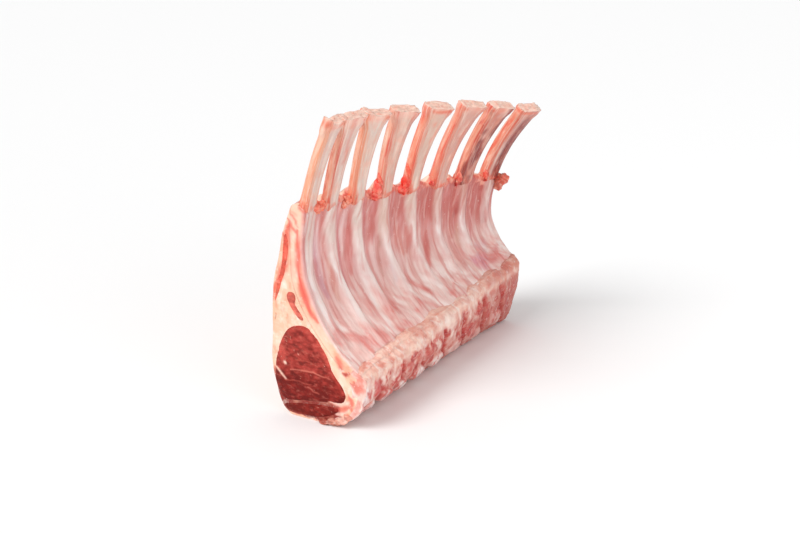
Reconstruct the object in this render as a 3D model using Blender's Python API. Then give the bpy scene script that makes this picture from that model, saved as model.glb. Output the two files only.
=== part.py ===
"""Frenched rack of lamb, raw: eight rib bones, loin and sawn backbone, standing on its back.

Metres, +Z up. The spine runs along Y from the loin end (-Y) to the shoulder end (+Y), the fat
side faces -X, and the ribs curl up and over towards +X. The meat is lofted between two cut
sections, one for each end; "t" goes along the spine from 0 at the loin to 1 at the shoulder, and
"s" climbs the ribs' inner faces from 0 at the backbone to 1 at the bone tips.
"""

import bmesh
import bpy
import numpy as np

CM = 0.01
SPINE_LENGTH = 18.6 * CM
SPINE_X = 1.227 * CM  # the sawn face's lower edge, from the middle of the whole
SPINE_START_Y = -9.074 * CM
GAP = 0.03 * CM  # between pieces that touch
OVERSHOOT = 0.02  # how far, in t, a cutter runs past the cut ends

RIB_COUNT = 8
FIRST_RIB_Y = 0.85 * CM
LAST_RIB_FROM_END = 0.92 * CM
RIB_FOOT_S = 0.07
RIB_FLARE_S = 0.62  # the bones widen and twist from here to their tips
RIB_FLARE_POWER = 1.6
FOOT_NARROWING = 0.28
FULL_WIDTH_S = 0.3
# first and last bone: bare width, bare thickness, and twist about the bone's own length
RIB_WIDTHS = (1.00 * CM, 1.28 * CM)
RIB_THICKNESSES = (0.50 * CM, 0.64 * CM)
RIB_TWISTS = (-6.0, 12.0)
RIB_FLARE = 0.36 * CM
TIP_TWIST = 16.0  # more twist at the tips of the middle bones
# the middle bones stand nearer the loin than an even fan, most of all the second and third
FAN_STRAY = 0.62 * CM
FAN_STRAY_SKEW = 0.6
STRAY_FROM_S = 0.15
# the tips close up towards the third bone and open again towards the seventh
TIP_SPREAD = 0.17 * CM
TIP_WAVE = 0.60 * CM
TIP_WAVE_START = 0.07
TIP_WAVE_POWER = 1.4
BONE_BURIED = 0.40 * CM  # bone thickness in the meat
RIB_HEIGHTS = np.linspace(RIB_FOOT_S, 1.0, 15)
SOCKET_STOPS_SHORT = 4  # ring heights that a rib's socket leaves out at the tip
SOCKET_FOOT_S = 0.006
RIB_SIDES = 10

# how far the ribs lean along Y at their tips: evenly, more towards both ends, and bowed
FAN_EVEN = -0.95 * CM
FAN_SPREAD = 1.97 * CM
FAN_BOW = 1.07 * CM
FAN_POWER = 1.31
LOIN_CUT_LEAN = -0.90 * CM
SHOULDER_CUT_LEAN = 0.55 * CM

# the ribs' inner line at each cut end: backbone edge, deepest point and bone tip
INNER_LOIN = np.array([(1.27, 3.32), (-1.96, 8.02), (0.56, 16.26)]) * CM
INNER_SHOULDER = np.array([(0.44, 4.38), (-1.18, 7.19), (1.64, 13.37)]) * CM
TIP_BOW = np.array([-0.20, 0.72]) * CM  # added to the tips midway along the rack
LOWER_BEND = 1.7
UPPER_BEND = 1.9

MEMBRANE_RECESS = 0.15 * CM  # the meat between the ribs lies below their inner faces
RIB_MEAT_DEPTH = 0.62 * CM
RIB_MEAT_TOP_DEPTH = 0.86 * CM
MEAT_LINE_LOIN_S = 0.645
MEAT_LINE_SHOULDER_S = 0.535
THICKENING_S = 0.42  # above this the rib meat and the bones grow to full thickness

# outlines of the two cut ends in centimetres (x from the sawn face's lower edge, z from the
# table), with the same number of points at both ends
OUTER_SIDE = (
    [(-3.10, 0.0), (-3.58, 0.42), (-3.92, 1.3), (-4.25, 2.9), (-4.08, 4.4), (-3.96, 6.2),
     (-3.72, 7.5), (-3.36, 8.8), (-3.06, 9.9), (-2.72, 10.7)],
    [(-2.95, 0.0), (-3.42, 0.45), (-3.75, 1.5), (-3.88, 2.8), (-3.76, 4.2), (-3.45, 5.6),
     (-3.10, 6.7), (-2.75, 7.6), (-2.40, 8.3), (-2.05, 8.8)],
)
EYE = (
    [(-2.20, 5.20), (-1.45, 5.05), (-0.98, 4.45), (-0.45, 3.60), (-0.10, 2.85), (0.42, 2.20),
     (0.58, 1.65), (0.30, 1.38), (-0.60, 1.26), (-1.90, 1.04), (-3.30, 0.84), (-3.78, 1.35),
     (-3.95, 2.20), (-3.70, 3.60), (-3.05, 4.80)],
    [(-2.20, 4.70), (-1.65, 4.45), (-1.25, 3.90), (-1.02, 3.30), (-0.95, 2.70), (-0.98, 2.10),
     (-1.08, 1.60), (-1.35, 1.36), (-1.80, 1.26), (-2.40, 1.16), (-3.05, 1.15), (-3.40, 1.55),
     (-3.55, 2.20), (-3.40, 3.30), (-2.85, 4.30)],
)
BACK_STRIP = (
    [(-3.30, 0.56), (-2.40, 0.78), (-1.40, 0.94), (-0.50, 1.06), (0.15, 1.10), (0.22, 0.92),
     (-0.20, 0.66), (-0.75, 0.42), (-1.35, 0.24), (-2.20, 0.17), (-3.00, 0.20), (-3.36, 0.36)],
    [(-3.05, 0.62), (-2.50, 0.86), (-2.00, 0.95), (-1.60, 1.02), (-1.30, 1.00), (-1.14, 0.80),
     (-1.20, 0.52), (-1.50, 0.32), (-2.00, 0.22), (-2.50, 0.18), (-2.90, 0.24), (-3.14, 0.42)],
)
CAP_LEAN = (
    [(-2.66, 10.15), (-2.84, 10.0), (-3.00, 9.0), (-3.22, 8.1), (-3.55, 7.2), (-3.76, 6.3),
     (-3.58, 6.5), (-3.22, 7.35), (-2.92, 8.15), (-2.72, 9.0), (-2.62, 9.6)],
    [(-2.12, 8.25), (-2.28, 8.1), (-2.52, 7.4), (-2.80, 6.7), (-3.08, 6.0), (-3.30, 5.2),
     (-3.14, 5.4), (-2.86, 6.0), (-2.58, 6.6), (-2.34, 7.2), (-2.14, 7.8)],
)
INNER_LEAN = (
    [(-2.95, 6.70), (-2.80, 6.98), (-2.48, 6.98), (-2.38, 6.70), (-2.46, 6.40), (-2.28, 6.08),
     (-2.08, 5.80), (-1.98, 5.56), (-2.22, 5.56), (-2.52, 5.86), (-2.80, 6.26)],
    [(-2.85, 5.90), (-2.66, 6.12), (-2.40, 6.08), (-2.30, 5.85), (-2.32, 5.60), (-2.22, 5.38),
     (-2.12, 5.20), (-2.10, 5.02), (-2.35, 5.02), (-2.55, 5.26), (-2.75, 5.56)],
)
BACKBONE = (
    [(0.0, 0.0), (0.75, 0.50), (1.40, 1.25), (1.78, 2.10), (1.82, 2.85), (1.32, 3.36),
     (0.88, 3.50), (0.76, 2.95), (0.94, 2.25), (0.92, 1.60), (0.58, 0.98), (-0.10, 0.48),
     (-0.50, 0.0)],
    [(0.0, 0.0), (0.28, 0.80), (0.52, 1.75), (0.74, 2.95), (0.72, 3.95), (0.42, 4.44),
     (-0.20, 4.56), (-0.66, 4.10), (-0.60, 3.00), (-0.58, 2.00), (-0.62, 1.20), (-0.74, 0.55),
     (-0.80, 0.0)],
)
# a line down the inside of the rib meat and the backbone, where the fat cap's solid may end
CORE_LINE = (
    [(0.95, 3.25), (1.15, 2.6), (1.30, 1.8), (0.80, 0.85), (-0.20, 0.0)],
    [(0.05, 4.15), (0.05, 3.2), (0.0, 2.2), (-0.20, 1.0), (-0.40, 0.0)],
)

MEAT_STATIONS = 10
SHARPEST_MITRE = 0.12  # keeps a grown outline's needle points short
VERTEBRA_INSET = 0.01 * CM
VERTEBRA_END_INSET = 0.05 * CM
VERTEBRA_WAIST = 0.12  # part of its length at each end that a vertebra is drawn in over
RIB_MEAT_STEPS = 11
BELOW_TABLE = 0.2 * CM


def mix(loin, shoulder, t):
    """A value or outline part of the way from the loin end to the shoulder end."""
    return np.asarray(loin) * (1.0 - t) + np.asarray(shoulder) * t


def inner_marks(t):
    """Backbone edge, deepest point and tip of the ribs' inner line at t."""
    marks = mix(INNER_LOIN, INNER_SHOULDER, t)
    marks[2] += TIP_BOW * 4.0 * t * (1.0 - t)
    return marks


def inner_point(t, s):
    """Point (x, z) on the ribs' inner faces: two power curves that meet at the deepest point."""
    edge, deep, tip = inner_marks(t)
    z = edge[1] + s * (tip[1] - edge[1])
    deep_s = (deep[1] - edge[1]) / (tip[1] - edge[1])
    if s < deep_s:
        x = deep[0] + (edge[0] - deep[0]) * ((deep_s - s) / deep_s) ** LOWER_BEND
    else:
        x = deep[0] + (tip[0] - deep[0]) * ((s - deep_s) / (1.0 - deep_s)) ** UPPER_BEND
    return np.array([x, z])


def inner_normal(t, s):
    """Unit direction in the section from the inner faces into the meat."""
    step = 0.01
    along = inner_point(t, s + step) - inner_point(t, s - step)
    into = np.array([-along[1], along[0]])
    return into / np.linalg.norm(into)


def climb(s, start, end):
    """0 below start, 1 above end, straight between."""
    return float(np.clip((s - start) / (end - start), 0.0, 1.0))


def lean(t, z):
    """How far a section's point at height z is carried along Y by the slant of the cuts."""
    edge, _, tip = inner_marks(t)
    s = np.maximum(0.0, (z - edge[1]) / (tip[1] - edge[1]))
    return mix(LOIN_CUT_LEAN, SHOULDER_CUT_LEAN, t) * s ** FAN_POWER


def place(outline, t):
    """Section outline (x, z) at t as world points."""
    x, z = outline[:, 0], outline[:, 1]
    y = t * SPINE_LENGTH + lean(t, z)
    return np.column_stack([x + SPINE_X, y + SPINE_START_Y, z])


def spline(points):
    """Catmull-Rom curve through the points, with one more point midway along each span."""
    padded = np.vstack([points[:1], points, points[-1:]])
    between = (9.0 * (padded[1:-2] + padded[2:-1]) - padded[:-3] - padded[3:]) / 16.0
    curve = np.empty((2 * len(points) - 1, 2))
    curve[0::2] = points
    curve[1::2] = between
    return curve


def grown(outline, margin):
    """A closed outline with its edges moved outwards by margin, its corners mitred."""
    following = np.roll(outline, -1, 0)
    area = np.sum(outline[:, 0] * following[:, 1] - following[:, 0] * outline[:, 1])
    along = following - outline
    out = np.column_stack([along[:, 1], -along[:, 0]]) * np.sign(area)
    out /= np.linalg.norm(out, axis=1)[:, None]
    before = np.roll(out, 1, 0)
    spread = np.maximum(1.0 + np.sum(out * before, axis=1), SHARPEST_MITRE)
    return outline + (out + before) * (margin / spread)[:, None]


def make_object(name, mesh_data, material, hidden=False):
    """New object from a bmesh, faces out."""
    bmesh.ops.recalc_face_normals(mesh_data, faces=mesh_data.faces)
    mesh = bpy.data.meshes.new(name)
    mesh_data.to_mesh(mesh)
    mesh_data.free()
    if material:
        mesh.materials.append(material)
    made = bpy.data.objects.new(name, mesh)
    bpy.context.collection.objects.link(made)
    if hidden:
        made.hide_render = True
        made.display_type = "WIRE"
    else:
        mesh.shade_smooth()
        mesh.set_sharp_from_angle(angle=np.radians(40.0))
    return made


def loft(name, rings, material, hidden=False):
    """Closed body through rings that all have the same number of points."""
    body = bmesh.new()
    loops = [[body.verts.new(point) for point in ring] for ring in rings]
    count = len(loops[0])
    for lower, upper in zip(loops, loops[1:]):
        for i in range(count):
            j = (i + 1) % count
            body.faces.new((lower[i], lower[j], upper[j], upper[i]))
    caps = [body.faces.new(loops[0]), body.faces.new(loops[-1])]
    body.normal_update()
    bmesh.ops.triangulate(body, faces=caps)
    return make_object(name, body, material, hidden)


def material(name, colour, roughness):
    """Principled material of one colour."""
    made = bpy.data.materials.new(name)
    made.use_nodes = True
    shader = made.node_tree.nodes["Principled BSDF"]
    shader.inputs["Base Color"].default_value = (*colour, 1.0)
    shader.inputs["Roughness"].default_value = roughness
    shader.inputs["Metallic"].default_value = 0.0
    return made


def cut(target, cutter):
    """Take the cutter's volume out of the target."""
    difference = target.modifiers.new("Cut " + cutter.name, "BOOLEAN")
    difference.operation = "DIFFERENCE"
    difference.solver = "EXACT"
    difference.object = cutter


def stations(is_cutter):
    """t of each section of a loft; a cutter runs past both cut ends."""
    inside = np.linspace(0.0, 1.0, MEAT_STATIONS)
    return [-OVERSHOOT, *inside, 1.0 + OVERSHOOT] if is_cutter else inside


def muscle(name, ends, finish):
    """A muscle carried from the loin cut to the shoulder cut."""
    return loft(name, [place(mix(*ends, t) * CM, t) for t in stations(False)], finish)


def muscle_tunnel(name, ends):
    """Cutter for the space that a muscle and its gap take up."""
    rings = [place(grown(mix(*ends, t) * CM, GAP), t) for t in stations(True)]
    return loft(name + "_tunnel", rings, None, hidden=True)


def meat_line(t):
    return float(mix(MEAT_LINE_LOIN_S, MEAT_LINE_SHOULDER_S, t))


def rib_meat_depth(t, s):
    """Distance from the ribs' inner faces to the back of the rib meat."""
    growth = climb(s, THICKENING_S, meat_line(t))
    return RIB_MEAT_DEPTH + (RIB_MEAT_TOP_DEPTH - RIB_MEAT_DEPTH) * growth


def rib_meat_outline(t):
    """Section of the meat that holds the ribs: down its inner skin and up its back."""
    heights = np.linspace(-0.02, meat_line(t), RIB_MEAT_STEPS)
    skin = [inner_point(t, s) + inner_normal(t, s) * MEMBRANE_RECESS for s in heights]
    back = [inner_point(t, s) + inner_normal(t, s) * rib_meat_depth(t, s) for s in heights]
    return np.array(skin[::-1] + back)


def rib_meat(finish):
    return loft("rib_meat", [place(rib_meat_outline(t), t) for t in stations(False)], finish)


def rib_meat_envelope():
    """Cutter that keeps the fat cap clear of the rib meat."""
    rings = [place(grown(rib_meat_outline(t), GAP), t) for t in stations(True)]
    return loft("rib_meat_envelope", rings, None, hidden=True)


def fat_cap(finish):
    """Everything outside the rib meat, later cut away where muscles and bone lie."""
    rings = []
    for t in stations(False):
        side = spline(mix(*OUTER_SIDE, t) * CM)
        core = mix(*CORE_LINE, t) * CM
        top_s = meat_line(t) - 0.02
        middle = [inner_point(t, s) + inner_normal(t, s) * 0.5 * rib_meat_depth(t, s)
                  for s in np.linspace(top_s, 0.06, 8)]
        rings.append(place(np.vstack([side, middle, core]), t))
    return loft("fat_cap", rings, finish)


def rib_position(index):
    """t of a rib's foot; the ribs stand a little closer together at the loin."""
    u = index / (RIB_COUNT - 1.0)
    u -= 0.025 * u * (1.0 - u)
    first = FIRST_RIB_Y / SPINE_LENGTH
    last = 1.0 - LAST_RIB_FROM_END / SPINE_LENGTH
    return first + u * (last - first)


def rib_lean(t):
    """How far a rib's tip stands along Y from its foot."""
    centred = t - 0.5
    return FAN_EVEN + FAN_SPREAD * centred + FAN_BOW * (4.0 * centred ** 2 - 0.33)


def rib_stray(index, s):
    """How far along Y a rib stands from the even fan at height s: a bow and a tip wave."""
    u = index / (RIB_COUNT - 1.0)
    share = climb(s, STRAY_FROM_S, RIB_FLARE_S)
    bow = -FAN_STRAY * np.sin(np.pi * u ** FAN_STRAY_SKEW) * share ** 2 * (3.0 - 2.0 * share)
    wave = TIP_SPREAD - TIP_WAVE * np.sin(2.0 * np.pi * (u - TIP_WAVE_START)) * np.sin(np.pi * u)
    return bow + wave * climb(s, RIB_FLARE_S, 1.0) ** TIP_WAVE_POWER


def rib_ring(index, s, margin):
    """Rounded section of a rib at height s, its inner side on the inner line."""
    t = rib_position(index)
    u = index / (RIB_COUNT - 1.0)
    flare = climb(s, RIB_FLARE_S, 1.0) ** RIB_FLARE_POWER
    bare = climb(s, THICKENING_S, meat_line(t))
    narrow = FOOT_NARROWING * (1.0 - climb(s, RIB_FOOT_S, FULL_WIDTH_S))
    width = (mix(*RIB_WIDTHS, u) + RIB_FLARE * flare) * (1.0 - narrow)
    thick = mix(BONE_BURIED, mix(*RIB_THICKNESSES, u), bare)
    turn = np.radians(mix(*RIB_TWISTS, u) * bare + TIP_TWIST * np.sin(np.pi * u) * flare)
    into = inner_normal(t, min(s, 0.98))
    middle = inner_point(t, s) + into * 0.5 * thick
    y = t * SPINE_LENGTH + rib_lean(t) * s ** FAN_POWER + rib_stray(index, s)
    points = []
    for angle in 2.0 * np.pi * (np.arange(RIB_SIDES) + 0.5) / RIB_SIDES:
        across = np.sign(np.cos(angle)) * abs(np.cos(angle)) ** 0.7 * (0.5 * width + margin)
        deep = np.sign(np.sin(angle)) * abs(np.sin(angle)) ** 0.7 * (0.5 * thick + margin)
        x, z = middle + into * (deep * np.cos(turn) - across * np.sin(turn))
        along = across * np.cos(turn) + deep * np.sin(turn)
        points.append((x + SPINE_X, y + along + SPINE_START_Y, z))
    return points


def rib(index, finish):
    return loft("rib_%d" % (index + 1), [rib_ring(index, s, 0.0) for s in RIB_HEIGHTS], finish)


def rib_socket(index):
    """Cutter for the channel in the rib meat that a rib lies in."""
    heights = RIB_HEIGHTS[:-SOCKET_STOPS_SHORT].copy()
    heights[0] -= SOCKET_FOOT_S
    rings = [rib_ring(index, s, GAP) for s in heights]
    return loft("socket_%d" % (index + 1), rings, None, hidden=True)


def vertebra(index, finish):
    """One sawn vertebra, drawn in a little where it meets its neighbours."""
    first = 0.0 if index == 0 else 0.5 * (rib_position(index - 1) + rib_position(index))
    last = 1.0 if index == RIB_COUNT - 1 else 0.5 * (rib_position(index) + rib_position(index + 1))
    half_gap = 0.5 * GAP / SPINE_LENGTH
    waist = VERTEBRA_WAIST * (last - first)
    rings = []
    for t, inset in ((first + half_gap, VERTEBRA_END_INSET), (first + waist, VERTEBRA_INSET),
                     (last - waist, VERTEBRA_INSET), (last - half_gap, VERTEBRA_END_INSET)):
        outline = mix(*BACKBONE, t) * CM
        shrunk = grown(outline, -inset)
        shrunk[0] = outline[0]
        shrunk[-1] = outline[-1]
        rings.append(place(shrunk, t))
    return loft("vertebra_%d" % (index + 1), rings, finish)


def backbone_envelope():
    """Cutter for all the vertebrae, with the gap round them, reaching below the table."""
    rings = []
    for t in stations(True):
        outline = grown(mix(*BACKBONE, t) * CM, GAP)
        under = outline[[-1, 0]] - (0.0, BELOW_TABLE)
        rings.append(place(np.vstack([outline, under]), t))
    return loft("backbone_envelope", rings, None, hidden=True)


def clear_scene():
    for old in list(bpy.data.objects):
        bpy.data.objects.remove(old, do_unlink=True)


def main():
    clear_scene()
    lean_meat = material("lean_meat", (0.42, 0.055, 0.05), 0.45)
    rib_flesh = material("rib_flesh", (0.66, 0.30, 0.28), 0.45)
    fat = material("fat", (0.80, 0.60, 0.48), 0.5)
    bone = material("bone", (0.76, 0.58, 0.50), 0.5)

    backbone = backbone_envelope()
    flesh = rib_meat(rib_flesh)
    cut(flesh, backbone)
    for index in range(RIB_COUNT):
        cut(flesh, rib_socket(index))
        rib(index, bone)
        vertebra(index, bone)

    cap = fat_cap(fat)
    cut(cap, backbone)
    cut(cap, rib_meat_envelope())
    for name, ends in (("eye_muscle", EYE), ("back_strip", BACK_STRIP),
                       ("cap_lean", CAP_LEAN), ("inner_lean", INNER_LEAN)):
        muscle(name, ends, lean_meat)
        cut(cap, muscle_tunnel(name, ends))


main()
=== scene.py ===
import bpy
import numpy as np
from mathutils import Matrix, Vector


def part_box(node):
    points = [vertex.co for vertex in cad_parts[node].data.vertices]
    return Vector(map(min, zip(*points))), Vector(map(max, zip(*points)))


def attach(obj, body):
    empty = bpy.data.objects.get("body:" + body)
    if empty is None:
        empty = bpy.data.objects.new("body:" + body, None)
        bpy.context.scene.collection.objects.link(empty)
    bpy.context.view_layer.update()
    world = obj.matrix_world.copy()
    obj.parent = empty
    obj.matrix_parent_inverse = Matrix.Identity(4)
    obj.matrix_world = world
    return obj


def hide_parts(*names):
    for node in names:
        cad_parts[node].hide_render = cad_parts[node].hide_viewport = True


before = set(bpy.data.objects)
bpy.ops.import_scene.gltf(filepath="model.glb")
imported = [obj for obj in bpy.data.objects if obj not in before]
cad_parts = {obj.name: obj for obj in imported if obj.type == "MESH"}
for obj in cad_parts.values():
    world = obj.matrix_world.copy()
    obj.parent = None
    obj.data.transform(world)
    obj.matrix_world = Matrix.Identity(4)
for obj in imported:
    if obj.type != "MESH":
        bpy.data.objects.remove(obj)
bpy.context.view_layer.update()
scene = bpy.context.scene

# Raw rack of lamb. Shapes are worked out in centimetres: t runs along the spine from the loin
# cut (0) to the shoulder cut (1), s climbs the ribs' inner faces from the backbone (0) to the
# bone tips (1), and a section is drawn in x and z from the sawn face's foot and the table.
stripLow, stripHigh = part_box("back_strip")
spineLength = (stripHigh.y - stripLow.y) * 100
spineStart = stripLow.y * 100
spineX = stripLow.x * 100 + 3.36  # the back strip starts 3.36 cm behind the sawn face's foot

rack = {
    "innerLoin": ((1.27, 3.32), (-1.96, 8.02), (0.56, 16.26)),  # backbone edge, deepest, tip
    "innerShoulder": ((0.44, 4.38), (-1.18, 7.19), (1.64, 13.37)),
    "tipBow": (-0.20, 0.72),
    "lowerBend": 1.7,
    "upperBend": 1.9,
    "cutLean": (-0.90, 0.55),  # slant of the two cut ends along the spine
    "leanPower": 1.31,
    "meatLine": (0.645, 0.535),  # where the bones come out of the meat, loin and shoulder
    "fatDepth": (0.62, 0.86),  # back of the rib meat, low down and at the meat line
    "recess": 0.21,  # of the skin between the ribs
    "length": 18.6,
    "ribFeet": (0.85, 0.92),  # first and last rib's distance from their end of the spine
    "ribCrowding": 0.025,  # the middle ribs' feet stand nearer the loin by this share
    "fan": (-0.95, 1.97, 1.07),  # ribs' lean along the spine: middle, growth, bow
    "height": 12.4,  # of the ribs' inner faces, for the patterns on them
    "touch": 0.035,  # unevenness shared by the pieces that touch
}
ribCount = 8


def mix(first, second, share):
    # straight line from the first to the second
    return first + (second - first) * share


def climb(value, start, end):
    # 0 before the start and 1 past the end, straight between them
    return np.clip((value - start) / (end - start), 0.0, 1.0)


def ease(value, start, end):
    # as climb, along the cubic 3a^2 - 2a^3
    share = climb(value, start, end)
    return share * share * (3.0 - 2.0 * share)


def hump(value, middle, width):
    # bell curve, 1 in the middle
    return np.exp(-(((value - middle) / width) ** 2))


def spot(*parts):
    # coordinates side by side, with single numbers spread over the arrays
    return np.stack(np.broadcast_arrays(*parts), -1)


def noise(points, seed):
    # random numbers on a repeating 32-cell cubic lattice, blended with a quintic ease
    table = np.random.default_rng(seed).uniform(-1.0, 1.0, (32, 32, 32))
    cell = np.floor(points).astype(int)
    part = points - cell
    part = part ** 3 * (part * (part * 6.0 - 15.0) + 10.0)
    total = 0.0
    for corner in range(8):
        step = np.array([corner & 1, (corner >> 1) & 1, corner >> 2])
        weight = np.prod(np.where(step, part, 1.0 - part), axis=-1)
        at = (cell + step) & 31
        total = total + weight * table[at[..., 0], at[..., 1], at[..., 2]]
    return total


def cloud(points, seed, octaves=3):
    # noise added at doubling fineness and halving strength
    total = 0.0
    for octave in range(octaves):
        total = total + noise(points * 2.0 ** octave, seed + octave) * 0.5 ** octave
    return total / (2.0 - 0.5 ** (octaves - 1))


def pathThrough(corners, closed=False):
    # Catmull-Rom curve through the corners, read by the share of its length
    corners = np.array(corners, float)
    if closed:
        padded = np.vstack([corners[-1:], corners, corners[:2]])
    else:
        padded = np.vstack([2 * corners[0] - corners[1], corners, 2 * corners[-1] - corners[-2]])
    pieces = []
    f = np.linspace(0.0, 1.0, 24, endpoint=False)[:, None]
    for p0, p1, p2, p3 in zip(padded, padded[1:], padded[2:], padded[3:]):
        pieces.append(0.5 * (2 * p1 + (p2 - p0) * f + (2 * p0 - 5 * p1 + 4 * p2 - p3) * f ** 2
                             + (3 * p1 - p0 - 3 * p2 + p3) * f ** 3))
    line = np.vstack(pieces + [padded[-2:-1]])
    share = np.concatenate([[0.0], np.cumsum(np.linalg.norm(np.diff(line, axis=0), axis=1))])
    share /= share[-1]
    return lambda a: (np.interp(a, share, line[:, 0]), np.interp(a, share, line[:, 1]))


def innerMarks(t):
    # backbone edge, deepest point and tip, straight from end to end but for the tips' parabola
    t = np.asarray(t, float)[..., None]
    marks = [mix(np.array(a), np.array(b), t)
             for a, b in zip(rack["innerLoin"], rack["innerShoulder"])]
    marks[2] = marks[2] + np.array(rack["tipBow"]) * 4.0 * t * (1.0 - t)
    return marks


def innerLine(t, s):
    # two power curves that meet at the deepest point
    edge, deep, tip = innerMarks(t)
    rise = tip[..., 1] - edge[..., 1]
    deepS = (deep[..., 1] - edge[..., 1]) / rise
    below = np.maximum((deepS - s) / deepS, 0.0) ** rack["lowerBend"]
    above = np.maximum((s - deepS) / (1.0 - deepS), 0.0) ** rack["upperBend"]
    x = deep[..., 0] + (edge[..., 0] - deep[..., 0]) * below
    x = x + (tip[..., 0] - deep[..., 0]) * above
    return x, edge[..., 1] + s * rise


def intoMeat(t, s):
    # the inner line's direction turned a quarter, pointing into the meat
    lowX, lowZ = innerLine(t, s - 0.01)
    highX, highZ = innerLine(t, s + 0.01)
    size = np.hypot(highX - lowX, highZ - lowZ)
    return -(highZ - lowZ) / size, (highX - lowX) / size


def toWorld(x, t, z):
    # the section at t slants along the spine with the power of its height above the backbone
    edge, _, tip = innerMarks(t)
    share = np.maximum((z - edge[..., 1]) / (tip[..., 1] - edge[..., 1]), 0.0)
    y = t * spineLength + mix(*rack["cutLean"], t) * share ** rack["leanPower"]
    return spot(x + spineX, y + spineStart, z)


def meatLine(t):
    # the height at which the meat ends, straight from cut to cut
    return mix(*rack["meatLine"], t)


def alongRack(index):
    # 0 at the first rib, 1 at the last
    return index / (ribCount - 1.0)


def ribSpine(index):
    # even steps along the spine, drawn towards the loin by a small parabola
    u = alongRack(index)
    u -= rack["ribCrowding"] * u * (1.0 - u)
    first, last = rack["ribFeet"]
    return mix(first / rack["length"], 1.0 - last / rack["length"], u)


def ribLean(t):
    # a straight line and a parabola along the spine
    middle, growth, bow = rack["fan"]
    return middle + growth * (t - 0.5) + bow * (4.0 * (t - 0.5) ** 2 - 0.33)


# the bones, in centimetres and degrees
ribForm = {
    "widths": (1.00, 1.28), "thicknesses": (0.50, 0.64), "twists": (-6.0, 12.0),  # first, last
    "flare": 0.36, "tipTwist": 16.0,
    "bow": 0.62, "bowSkew": 0.6, "bowFrom": 0.15,  # the middle bones stand nearer the loin
    "tipSpread": 0.17, "tipWave": 0.60, "waveStart": 0.07, "wavePower": 1.4,
    "flareFrom": 0.62, "flarePower": 1.6, "foot": 0.07,
    "buried": 0.36,  # thickness inside the meat
    "bareFrom": 0.42,
    "corners": (0.56, 0.42),  # powers that square the section, low down and at the tip
    "dents": 0.045, "collar": (0.03, 0.10), "tissue": 0.11, "tipRough": (0.10, 0.03),
    "spur": 0.42, "scoop": 0.08,  # first bone's tip
    "knob": (0.16, 0.14),  # third bone's tip, outwards and upwards
}


def ribStray(index, s):
    # how far along the spine a rib stands from the even fan: a bow, and a wave at the tips
    u = alongRack(index)
    bow = -ribForm["bow"] * np.sin(np.pi * u ** ribForm["bowSkew"])
    wave = np.sin(2.0 * np.pi * (u - ribForm["waveStart"])) * np.sin(np.pi * u)
    wave = ribForm["tipSpread"] - ribForm["tipWave"] * wave
    bow = bow * ease(s, ribForm["bowFrom"], ribForm["flareFrom"])
    return bow + wave * climb(s, ribForm["flareFrom"], 1.0) ** ribForm["wavePower"]


def ribY(index, s):
    # the fan's lean grows with a power of the height
    foot = ribSpine(index)
    lean = ribLean(foot) * np.maximum(s, 0.0) ** rack["leanPower"]
    return foot * spineLength + lean + ribStray(index, s)


def ribOnSkin(index, s):
    # the t of the slanting section that a rib's middle crosses at height s
    high = np.maximum(s, 0.0) ** rack["leanPower"]
    loin, shoulder = rack["cutLean"]
    return (ribY(index, s) - loin * high) / (spineLength + (shoulder - loin) * high)


def ribNearness(t, s, width):
    # 1 along each rib's middle, falling off over the width in centimetres
    best = np.zeros_like(t)
    for index in range(ribCount):
        away = (t - ribOnSkin(index, s)) * spineLength
        best = np.maximum(best, np.exp(-np.abs(away / width) ** 3))
    return best


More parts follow.
